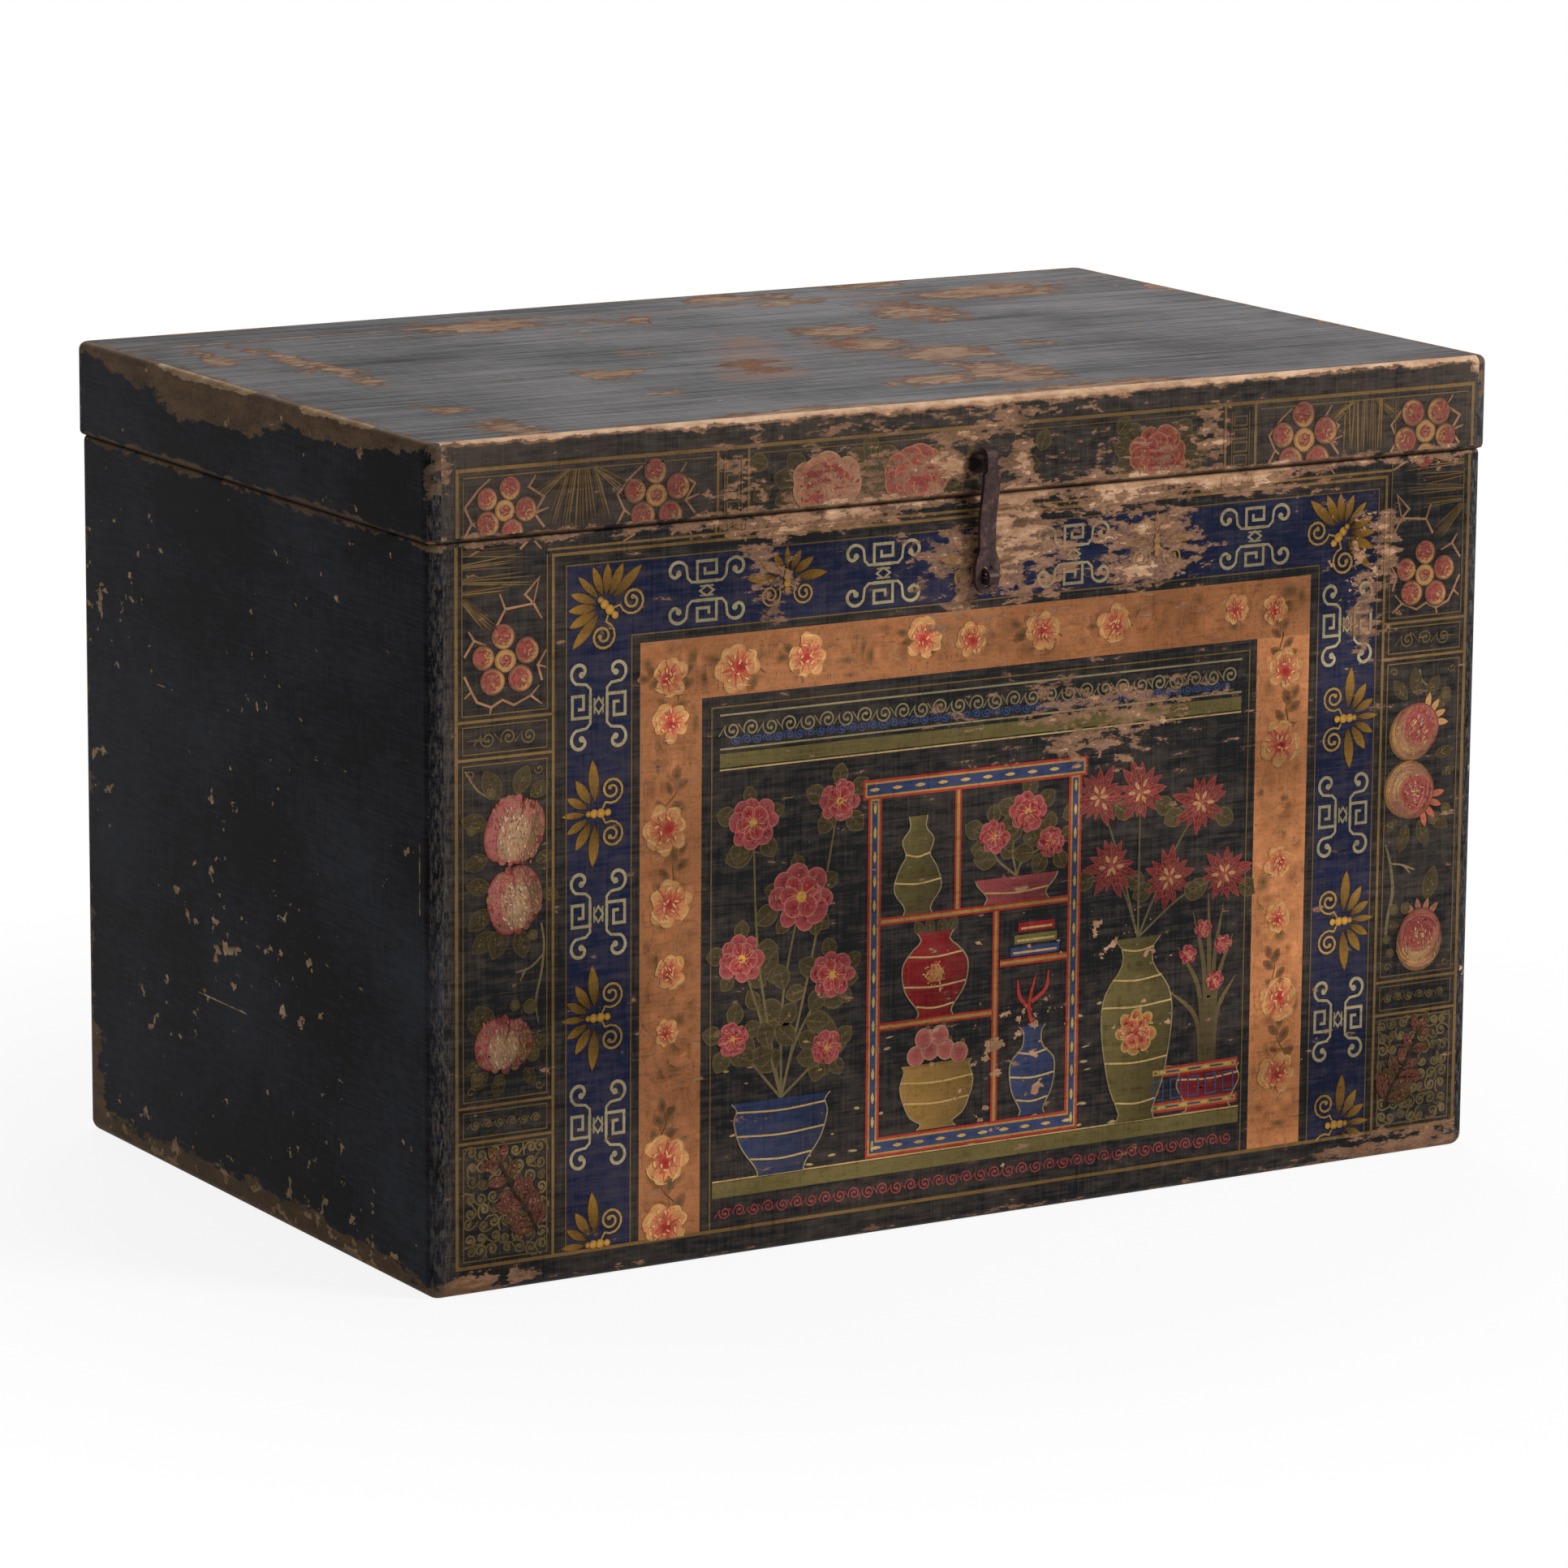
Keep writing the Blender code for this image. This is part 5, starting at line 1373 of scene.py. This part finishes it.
def pomegranate(sheet, x, z, wide, tall, turn, crown):
    """A pale rind with a rose cheek on the side of its crown. turn says where the crown points."""
    for lean in (-24, -8, 9, 26):
        cx, cz = around(turn + lean, tall * 1.1)
        paints = crown * 0.5, crown * 0.85, crown * 0.7
        sheet.dab(x + cx, z + cz, 2.4, 6.2, paints, turn + lean * 1.7 - 90, 2, 1)
    dx, dz = around(turn, tall * 0.12)
    sheet.dab(x - dx, z - dz, wide * 0.98, tall * 0.94, (RIM * 0.3, FADED * 0.7, FADED * 0.8), turn, 3)
    sheet.dab(x + dx, z + dz, wide * 0.90, tall * 0.88, (ROSE * 0.5, FADED * 0.75, PINK * 0.85), turn, 3)
    dx, dz = around(turn + 14, tall * 0.27)
    sheet.dab(x + dx, z + dz, wide * 0.68, tall * 0.66, (FADED * 0.85, ROSE * 0.95, ROSE), turn - 70, 4)
    dry = (RIM, RIM * 0.8, BLUSH * 0.9, FADED, RIM * 0.6)
    ripe = (ROSE, PINK, ROSE_DEEP, ROSE * 0.8, FADED)
    arcs(sheet, x, z, wide, tall, turn + 180, 75, np.linspace(0.5, 0.96, 9), dry, 5)
    arcs(sheet, x, z, wide, tall, turn + 150, 50, (0.62, 0.74, 0.86), dry, 5.4)
    arcs(sheet, x, z, wide, tall, turn, 62, np.linspace(0.28, 0.88, 9), ripe, 5.4)
    stipple(sheet, x + dx, z + dz, wide * 0.62, tall * 0.62, 46, ripe, 6, 3, turn - 70)
    stipple(sheet, x - dx, z - dz, wide * 0.70, tall * 0.66, 40, dry, 6, 3, turn - 90)
    stipple(sheet, x + dx, z + dz, wide * 0.30, tall * 0.30, 7, (FROST * 0.8, BLUSH), 6.4, 3, turn - 70)


print("leaves and fruit ready")

# %% [markdown]
# ## Scrolls, foot panels and blooms
# Narrow panels hold a row of volutes. The foot panels are filled with small curls, under a stem with
# paired red-brown leaves. A bloom is two ragged rings of petals, for the lid and for the picture.

# %% Scrolls, foot panels and blooms
def scroll_row(sheet, x0, x1, z, radius, colour, level=2, wide=0.9):
    """Small volutes one after the other on a wave, as in the narrow panels."""
    count = int((x1 - x0) / (radius * 2.3))
    pitch = (x1 - x0) / count
    for k in range(count):
        x = x0 + pitch * (k + 0.5)
        side = 1 if k % 2 else -1
        lead = [(x - pitch * 0.7, z + side * radius * 0.6)]
        sheet.curl(x, z, radius, side * -150, side * -1.4, wide, colour, lead, level, 1.1)


def foot_panel(sheet, middle, side):
    """Close-set curls, and on them a dark stem that leans inwards, with paired red-brown leaves."""
    for row in range(8):
        for place in range(-3, 4):
            x = middle + 8.4 * place + hand.uniform(-1.6, 1.6)
            z = 27.5 + 9.2 * row + hand.uniform(-1.4, 1.4)
            turn = hand.choice((-1.15, 1.15))
            start = hand.uniform(0, 360)
            arms = around(start - 40 * turn, 6.5), around(start - 15 * turn, 5.4)
            lead = [(x + dx, z + dz) for dx, dz in arms]
            tone = OLIVE_PALE * hand.uniform(0.5, 1.15)
            sheet.curl(x, z, hand.uniform(3.6, 4.8), start, turn, 1.5, tone, lead, 1, 1.2)
    stem = bow([(23, 36), (16, 50), (6, 64), (-4, 84)], 12)
    sheet.strip([(middle + side * dx, z) for dx, z in stem], 2.2, UMBER, level=4.6)
    for k in (1, 3, 5, 7, 9, 11):
        for lean in (64, 124, 184) if k > 9 else (72, 178):
            turn = lean + hand.uniform(-8, 8)
            reach = hand.uniform(17, 22) if k < 7 else hand.uniform(12, 16)
            tones = hand.choice(((UMBER, RUST * 0.95, RUST * 0.5), (UMBER, RUST * 0.7, FADED * 0.4),
                                 (UMBER, DULL_LEAF * 0.8, RUST * 0.7)))
            dx, z = stem[k]
            leaf(sheet, middle + side * dx, z, reach, turn if side > 0 else 180 - turn, 0.26, tones, 3)
            lx, lz = around(turn, reach * 0.5)
            mottle = RUST * 1.3, FADED * 0.6, RUST
            stipple(sheet, middle + side * (dx + lx), z + lz, reach * 0.2, reach * 0.2, 8, mottle, 5)


def bloom(sheet, x, z, wide, tall, outer, inner, heart, petals=9):
    """A full flower of two ragged rings of petals, flattened to its width and height."""
    rings = (petals, 0.68, 0.35, outer, 3), (petals - 2, 0.40, 0.30, inner, 4)
    for count, reach, size, colours, level in rings:
        for k in range(count):
            angle = 360 / count * k + hand.uniform(-13, 13)
            dx, dz = around(angle, reach * hand.uniform(0.88, 1.08))
            broad = size * wide * hand.uniform(0.8, 1.2)
            sheet.dab(x + dx * wide, z + dz * tall, broad, size * tall * 1.15, colours, angle - 90, level)
    sheet.dab(x, z, 0.18 * wide, 0.2 * tall, (inner[1], heart, heart), level=5)
    for k in range(9):
        dx, dz = around(40 * k + hand.uniform(-10, 10), hand.uniform(0.4, 0.75))
        sheet.strip([(x, z), (x + dx * wide, z + dz * tall)], 0.8, heart, inner[0], 5, (1, 0.3))
    stipple(sheet, x, z, wide * 0.9, tall * 0.9, 44, (outer[0], outer[1], inner[1], inner[2]), 6, 3)


print("scrolls and blooms ready")

# %% [markdown]
# ## Columns
# The right column mirrors the left one, so both are drawn by one loop from a middle line and a
# side: rosette, twigs and blades at the top, a scroll, the tall panel, another scroll and the foot
# panel. Only the fruit, its leaves and its boughs are placed one by one.

# %% Columns
columns = Sheet()
for middle, side, height in ((-347.5, 1, 405.5), (353.8, -1, 400)):
    def at(dx, z):
        return middle + side * dx, z

    columns.stamp(rosette, middle, height, 3 * side)
    twigs(columns, at,
          ((-29, 398), (-24, 388), (-20, 381), (-10, 377), (-2, 381), (6, 377), (18, 382), (24, 388)),
          ((-24, 388), (-29, 384)), ((-10, 377), (-11, 372)), ((18, 382), (26, 376)),
          ((26, 391), (23, 401), (29, 410)), ((23, 401), (29, 399)),
          ((-29, 410), (-22, 420), (-13, 416)), ((-22, 420), (-26, 426)),
          ((-6, 428), (0, 438), (-4, 448)), ((0, 438), (20, 440), (14, 446), (24, 456), (20, 440)),
          ((20, 440), (26, 430)))
    outer = 0 if side > 0 else 180
    for blade, (z, long) in enumerate(((475, 50), (466.5, 44), (457.5, 53), (450, 40))):
        blades(columns, *at(-30.5, z), [outer + (2 if blade % 2 else -2)], long, 0.9, 4)
    blades(columns, *at(-30, 446), [outer - side * 40, outer - side * 47], 32, 1.0, 4)
    scroll_row(columns, middle - 20, middle + 24, 357, 5.6, OLIVE_PALE * 0.8, wide=1.1)
    columns.strip([at(-28, 357), at(-14, 357)], 2.6, OLIVE_PALE * 0.6, ends=(0.1, 1))
    scroll_row(columns, middle - 26, middle + 26, 110.8, 3.3, OLIVE_PALE * 0.75, wide=1.1)
    foot_panel(columns, middle, side)

PEACH_LEAVES = ((-352, 318, 120, 22), (-340, 320, 65, 20), (-330, 318, 30, 16), (-360, 302, 165, 20),
                (-360, 282, 200, 18), (-358, 262, 170, 18), (-358, 248, 215, 20), (-326, 276, 20, 14),
                (-322, 256, -20, 14), (-348, 236, 245, 22), (-338, 234, 280, 20), (-356, 234, 220, 20),
                (-356, 172, 130, 20), (-366, 168, 110, 18), (-364, 150, 200, 14), (-332, 158, 10, 16),
                (-350, 142, 250, 16), (-360, 144, 220, 16), (-334, 144, 300, 14))
POMEGRANATE_LEAVES = ((342, 316, 130, 18), (350, 318, 95, 20), (358, 316, 55, 18), (364, 310, 20, 16),
                      (366, 276, 10, 16), (336, 234, 215, 14), (344, 230, 255, 20), (354, 232, 290, 20),
                      (362, 236, 325, 20), (372, 262, 20, 12), (362, 176, 75, 24), (340, 160, 170, 12))
for place in PEACH_LEAVES:
    mottled_leaf(columns, *place, 0.32, 0.22, 7)
for place in POMEGRANATE_LEAVES:
    mottled_leaf(columns, *place, 0.26, 0.2, 6)
bough = bow([(-322, 236), (-320, 222), (-322, 204), (-326, 186), (-324, 172)], 14)
columns.strip(bough, 1.8, BARK, BARK * 0.7, 1, (0.7, 0.5))
stem = bow([(329, 150), (330, 165), (334, 185), (331, 206), (327, 218)], 14)
columns.strip(stem, 2.6, BARK, BARK * 0.7, 1, (1, 0.5))
TWIGLETS = ([(-320, 216), (-330, 208), (-340, 206)], [(-333, 208), (-337, 200)],
            [(-376, 338), (-368, 326), (-360, 320)], [(332, 204), (342, 202), (348, 196)],
            [(342, 202), (352, 198)], [(352, 336), (354, 328), (362, 322)])
for line in TWIGLETS:
    columns.strip(bow(line, 8), 1.4, BARK, BARK * 0.9, 1, (1, 0.6))
BERRIES = ((-328, 229), (-341, 185), (-330, 183), (-328, 152), (-353, 138), (-368, 140), (-372, 300),
           (-358, 322), (366, 232), (374, 318), (345, 172), (335, 172), (330, 152), (333, 142), (376, 238))
for x, z in BERRIES:
    berry(columns, x, z, hand.uniform(3.2, 4.8))
peach(columns, -341, 253, 19.5, 22, 8)
peach(columns, -341, 297, 20.5, 23.5, -22)
peach(columns, -349, 160.5, 20.5, 18, -14)
pomegranate(columns, 349, 294, 20, 20, 35, CREAM)
pomegranate(columns, 346, 253, 20, 21, -35, PEACH)
pomegranate(columns, 357, 150, 21, 20, 85, FADED)
press(columns, "front_column_paint", FRONT_PLANE, "box", cut=(SEAM_BELOW, False), two_columns=True)

# %% [markdown]
# ## Lid panels
# Four rosettes among twigs, with fans of needles between them, and three big faded blooms in the
# middle. The row was painted with the lid shut and runs on for a finger's width below the seam, so
# one sheet is pressed twice, on the lid and on the box, and parts at the seam.

# %% Lid panels
SHELLS = ((paint(214, 172, 138), paint(190, 136, 114), paint(178, 112, 98)),
          (paint(190, 136, 110), paint(156, 82, 80), paint(150, 66, 72)),
          (paint(190, 142, 108), paint(158, 88, 76), paint(148, 68, 66)))
INNER = (paint(196, 138, 114), paint(158, 78, 78), paint(146, 58, 64))
lid_row = Sheet()
ROSETTES = (-349, 500.5, -18, 0.92), (-241, 501.5, 0, 1.0), (251.5, 499.5, 0, 1.1), (350, 498, 180, 1.06)
for x, z, turn, size in ROSETTES:
    twigs(lid_row, lambda dx, height: (x + dx, height),
          ((-29, 484), (-23, 494), (-28, 504), (-18, 515), (-10, 521)), ((-23, 494), (-18, 490)),
          ((28, 488), (21, 497), (28, 507), (17, 514), (22, 521)), ((21, 497), (31, 500)),
          ((12, 475), (20, 482), (27, 474)), ((-14, 478), (-24, 473)))
    lid_row.stamp(rosette, x, z, turn, size)
for aside in (-10, -5.5, -1, 3, 8):
    blades(lid_row, -294 + aside, 523, (-90 + 2.0 * aside,), 41, 1.3, 3)
for x in range(286, 316, 7):
    blades(lid_row, x, 523, (-90,), 40, 1.3, 3)
for x in (-294, 300):
    blades(lid_row, x - 9, 523, (-140, -150), 32, 0.9, 3)
    blades(lid_row, x + 9, 523, (-40, -30), 32, 0.9, 3)
for shell, (x, z, wide, tall) in zip(SHELLS, ((-117, 499, 28, 19), (-50, 499, 26, 19), (136, 499, 23, 19))):
    for angle in (15, 45, 135, 165, 200, 340):
        lx, lz = around(angle, 1.0)
        leaf(lid_row, x + lx * wide * 0.8, z + lz * tall * 0.6, 18, angle, 0.42)
    bloom(lid_row, x, z, wide, tall, shell, INNER, ROSE_DEEP)
LOOSE_LEAVES = ((-158, 500), (-160, 514), (-84, 514), (-82, 492), (-8, 514), (30, 500), (44, 508),
                (104, 514), (166, 504))
for x, z in LOOSE_LEAVES:
    leaf(lid_row, x, z, 15, hand.uniform(0, 360), 0.42)
for x0, x1 in DIVIDERS:
    for k in range(4):
        lid_row.frame(x0 + 7, 487 + 8.6 * k, x1 - 7, 493 + 8.6 * k, 1.0, GOLD_THIN, level=1)
press(lid_row, "lid_row_paint", LID_PLANE, "lid", cut=(SEAM_ABOVE, True))
press(lid_row, "front_seam_paint", FRONT_PLANE, "box", cut=(SEAM_BELOW, False))

# %% [markdown]
# ## Picture panel
# The panel in the middle is a still life of stock furniture-painting subjects, in crimson, olive,
# blue and ochre on black: a curio shelf with jars, books, fruit and a branch of coral, a potted
# shrub on one side, a floor vase with flowers and a grassy plant on the other, a carved frieze
# above and a low fence in front. Pots and vases are strips along their own axis whose width
# follows the pot's profile.

# %% Pots, rails and shrubs
LINE = paint(156, 150, 122)
MOSS = paint(112, 106, 66)
FRAME_RED = paint(176, 58, 58)
FRAME_BLUE = paint(52, 70, 122)
FRAME_OCHRE = paint(180, 146, 84)
STRAW = paint(206, 182, 130)
PINKS = (paint(196, 128, 130), paint(172, 86, 96), paint(150, 60, 76))
PINKS_IN = (paint(206, 150, 142), paint(176, 84, 92), CRIMSON)
WINE = (paint(164, 90, 84), paint(130, 52, 58), paint(86, 34, 42))
still = Sheet()


def pot(x, profile, colour, bands=(), level=3):
    """A thrown pot: profile lists height and width from its foot up, bands the heights of its rings."""
    smooth = bow([(w, h) for h, w in profile], 60)
    fine = np.linspace(profile[0][0], profile[-1][0], 22)
    widths = np.interp(fine, smooth[:, 1], smooth[:, 0])
    path = np.column_stack([np.full(len(fine), x), fine])
    still.strip(path, widths, colour * 0.8, colour, level, shaded=0.55)
    for side in (-1, 1):
        still.strip(np.column_stack([x + side * widths / 2, fine]), 0.9, LINE, level=level + 1)
    for height in bands:
        half = np.interp(height, fine, widths) / 2
        ring = bow([(x - half, height + 1), (x, height - 1), (x + half, height + 1)], 8)
        still.strip(ring, 1.2, STRAW, level=level + 1)


def rail(x0, z0, x1, z1):
    """A joiner's rail: red edges, an ochre fillet and a blue field with pale strokes."""
    still.bar(x0, z0, x1, z1, FRAME_RED, 2)
    still.bar(x0 + 1.6, z0 + 1.6, x1 - 1.6, z1 - 1.6, FRAME_OCHRE, 3)
    still.bar(x0 + 3, z0 + 3, x1 - 3, z1 - 3, FRAME_BLUE, 4)
    tall = z1 - z0 > x1 - x0
    count = int(max(z1 - z0, x1 - x0) / 16)
    for k in range(count):
        share = (k + 0.5) / count
        upright, flat = ((x0 + x1) / 2, z0 + (z1 - z0) * share), (x0 + (x1 - x0) * share, (z0 + z1) / 2)
        still.dab(*(upright if tall else flat), 1.2, 4.0, (STRAW, STRAW, YELLOW), 0 if tall else 90, 5, 1, 1)


def shelf(x0, x1, z):
    still.bar(x0, z, x1, z + 5, FRAME_RED, 2)
    still.bar(x0, z + 1.4, x1, z + 3.6, FRAME_OCHRE, 3)


def shrub(x, z, flowers, leaves):
    """Stems from one root to each flower, leaves along them, then the flowers."""
    for fx, fz, size in flowers:
        path = bow([(x, z), ((x + fx) / 2 + hand.uniform(-8, 8), (z + fz) / 2), (fx, fz)], 12)
        still.strip(path, 1.8, BARK, OLIVE_PALE, 1, (1, 0.6))
        for k in range(leaves):
            px, pz = path[hand.randrange(4, 12)]
            leaf(still, px, pz, hand.uniform(15, 24), hand.uniform(-30, 210), 0.38)
        for turn in range(20, 380, 72):
            lx, lz = around(turn, size * 0.7)
            leaf(still, fx + lx, fz + lz, hand.uniform(12, 17), turn + hand.uniform(-20, 20), 0.42)
    for fx, fz, size in flowers:
        bloom(still, fx, fz, size, size * 0.9, PINKS, PINKS_IN, YELLOW, 8)


def mums(x, z, root):
    """A shaggy wine-red flower over pale buds, on a stem from the vase."""
    still.strip(bow([root, ((x + root[0]) / 2, (z + root[1]) / 2 + 6), (x, z)]), 1.5, BARK, OLIVE, 1)
    for turn in range(10, 361, 25):
        leaf(still, x, z, hand.uniform(15, 24), turn + hand.uniform(-6, 6), 0.15, WINE, 2)
    for turn in range(0, 360, 60):
        dx, dz = around(turn, hand.uniform(3, 8))
        still.dab(x + dx, z + dz, 1.3, 3.0, (STRAW * 0.6, STRAW * 0.8, PEACH), turn - 90, 4, 0.6)
    for turn in (200, 330):
        lx, lz = around(turn, 14)
        leaf(still, x + lx, z + lz, 17, turn, 0.4)


print("still life palette ready")

# %% [markdown]
# ## Setting out the picture
# The picture is set out from its borders inwards: frieze and floor first, then the shrub, the shelf
# with its jars, and at the right the plant, the vase and the fence. What is painted later lies over
# what came before.

# %% Picture borders and shrub
x0, x1 = PICTURE[:2]
still.strip([(x0 + 6, 356), (x1 - 6, 356)], 1.2, LINE)
still.strip([(x0 + 6, 334), (x1 - 6, 334)], 1.2, LINE)
scroll_row(still, x0 + 8, x1 - 8, 346, 6.0, LINE * 0.8, wide=1.2)
scroll_row(still, x0 + 14, x1 - 14, 339, 3.4, FRAME_BLUE * 1.5, 1)
still.bar(x0 + 6, 322, x1 - 6, 331, MOSS, 1)
still.strip([(x0 + 6, 320.5), (x1 - 6, 320.5)], 1.0, STRAW)
still.bar(x0 + 2, 40, x1 - 2, 50, MOSS, 1)
still.strip([(x0 + 2, 51), (x1 - 2, 51)], 1.0, STRAW)
scroll_row(still, x0 + 6, x1 - 6, 30, 4.6, PINKS[1] * 0.7, wide=1.1)
for k in range(70):
    x, z = hand.uniform(x0 + 8, x1 - 8), 52 + 90 * hand.random() ** 2
    wide, tall = hand.uniform(1.5, 4), hand.uniform(0.5, 1.1)
    still.dab(x, z, wide, tall, (LINE, LINE, STRAW), hand.uniform(-12, 12), 1)

pot(-146, ((51, 34), (57, 38), (72, 60), (88, 70), (96, 66), (101, 74)), FRAME_BLUE, (62, 78, 94))
shrub(-146, 101, ((-176, 196, 17), (-132, 232, 23), (-168, 284, 18), (-108, 178, 16), (-104, 292, 15),
                  (-182, 144, 12), (-112, 130, 12)), 4)
print("borders and shrub", len(still.marks), "marks")

# %% [markdown]
# ## Shelf and jars
# The shelf is joined from painted rails and plain boards. Each compartment holds one thing.

# %% Shelf and jars
for x in (-82, 72):
    rail(x, 52, x + 10, 292)
rail(-86, 290, 86, 303)
rail(-82, 52, 82, 65)
shelf(-72, 14, 136)
shelf(-72, 72, 206)
shelf(20, 72, 168)
for x, low, high in ((14, 65, 206), (-16, 211, 290)):
    still.bar(x, low, x + 5, high, FRAME_RED, 2)
    still.bar(x + 1.4, low, x + 3.6, high, FRAME_OCHRE, 3)
pot(-30, ((141, 28), (146, 26), (160, 46), (176, 50), (186, 36), (192, 22), (198, 28)), CRIMSON,
    (148, 162, 182))
bloom(still, -30, 170, 10, 9, (STRAW, FRAME_OCHRE, FRAME_OCHRE), (STRAW, FRAME_OCHRE, RED), RED, 8)
for dx, turn in ((-9, 120), (-3, 100), (4, 80), (10, 60)):
    leaf(still, -30 + dx, 195, 13, turn, 0.3)
pot(-28, ((66, 30), (70, 24), (76, 42), (94, 56), (106, 50), (110, 54)), FRAME_OCHRE, (84, 98))
for x, z in ((-44, 116), (-33, 119), (-21, 118), (-11, 115), (-38, 127), (-26, 128)):
    still.dab(x, z, 7, 7, (BLUSH, PINK, ROSE), level=4)
    berry(still, x + 3, z + 7, 2)
pot(46, ((66, 20), (70, 18), (84, 32), (102, 34), (112, 16), (122, 14), (126, 20)), FRAME_BLUE * 1.2,
    (76, 92, 108))
CORAL = ([(46, 126), (43, 140), (48, 160)], [(45, 136), (36, 146), (34, 158)],
         [(45, 142), (56, 150), (58, 162)])
for path in CORAL:
    still.strip(bow(path, 9), 2.6, RED, FRAME_RED, 3, (1, 0.4))
for k, colour in enumerate((FRAME_BLUE, MOSS, CRIMSON)):
    still.bar(28 + 3 * k, 174 + 8 * k, 66 - 2 * k, 180 + 8 * k, colour * 1.2, 3)
    still.bar(30 + 3 * k, 175.5 + 8 * k, 64 - 2 * k, 177 + 8 * k, STRAW, 4)
pot(-44, ((211, 22), (216, 20), (228, 36), (242, 28), (250, 18), (260, 24), (268, 12), (276, 14)), MOSS,
    (232, 250))
pot(32, ((211, 50), (216, 46), (224, 60), (228, 64)), PINKS[1], (218,))
shrub(32, 228, ((14, 256, 12), (40, 270, 14), (58, 248, 11)), 3)
print("with shelf and jars", len(still.marks), "marks")

# %% [markdown]
# ## Vase, plant and fence
# At the right a grassy plant in a low planter, a tall floor vase with shaggy flowers in front of it,
# and the fence. Then the whole sheet is pressed on the panel.

# %% Vase, plant and fence
PLANT_X, PLANT_Z = 186, 81
pot(PLANT_X, ((51, 38), (56, 34), (70, 50), (78, 46), (81, 50)), CRIMSON * 0.8, (58, 74), 1)
for tip_x, tip_z in ((152, 138), (160, 166), (172, 188), (184, 200), (196, 192), (204, 170), (207, 142)):
    aside, rise = tip_x - PLANT_X, tip_z - PLANT_Z
    middle = PLANT_X + 0.32 * aside, PLANT_Z + 0.62 * rise
    path = bow([(PLANT_X + 0.2 * aside, PLANT_Z), middle, (tip_x, tip_z)], 12)
    still.strip(path, 3.4, OLIVE, OLIVE_PALE, 1, (0.7, 0.15))
for x, z in ((168, 160), (180, 176), (196, 164), (190, 140)):
    bloom(still, x, z, 7, 6.5, PINKS, PINKS_IN, YELLOW, 6)
pot(128, ((51, 30), (57, 26), (80, 44), (118, 56), (140, 50), (156, 26), (168, 24), (176, 36)), MOSS,
    (64, 92, 130, 148, 168))
bloom(still, 128, 112, 15, 15, (STRAW, FRAME_OCHRE, RED), (STRAW, PEACH, CRIMSON), CRIMSON, 8)
for x, z in ((106, 226), (152, 214), (176, 262), (128, 274), (196, 212), (96, 274)):
    mums(x, z, (128, 176))
for low in (54, 78):
    rail(140, low, 210, low + 7)
for x in range(146, 206, 14):
    still.frame(x - 4, 63, x + 4, 76, 1.2, FRAME_BLUE * 1.4, 3)
press(still, "front_picture_paint", FRONT_PLANE, "box")
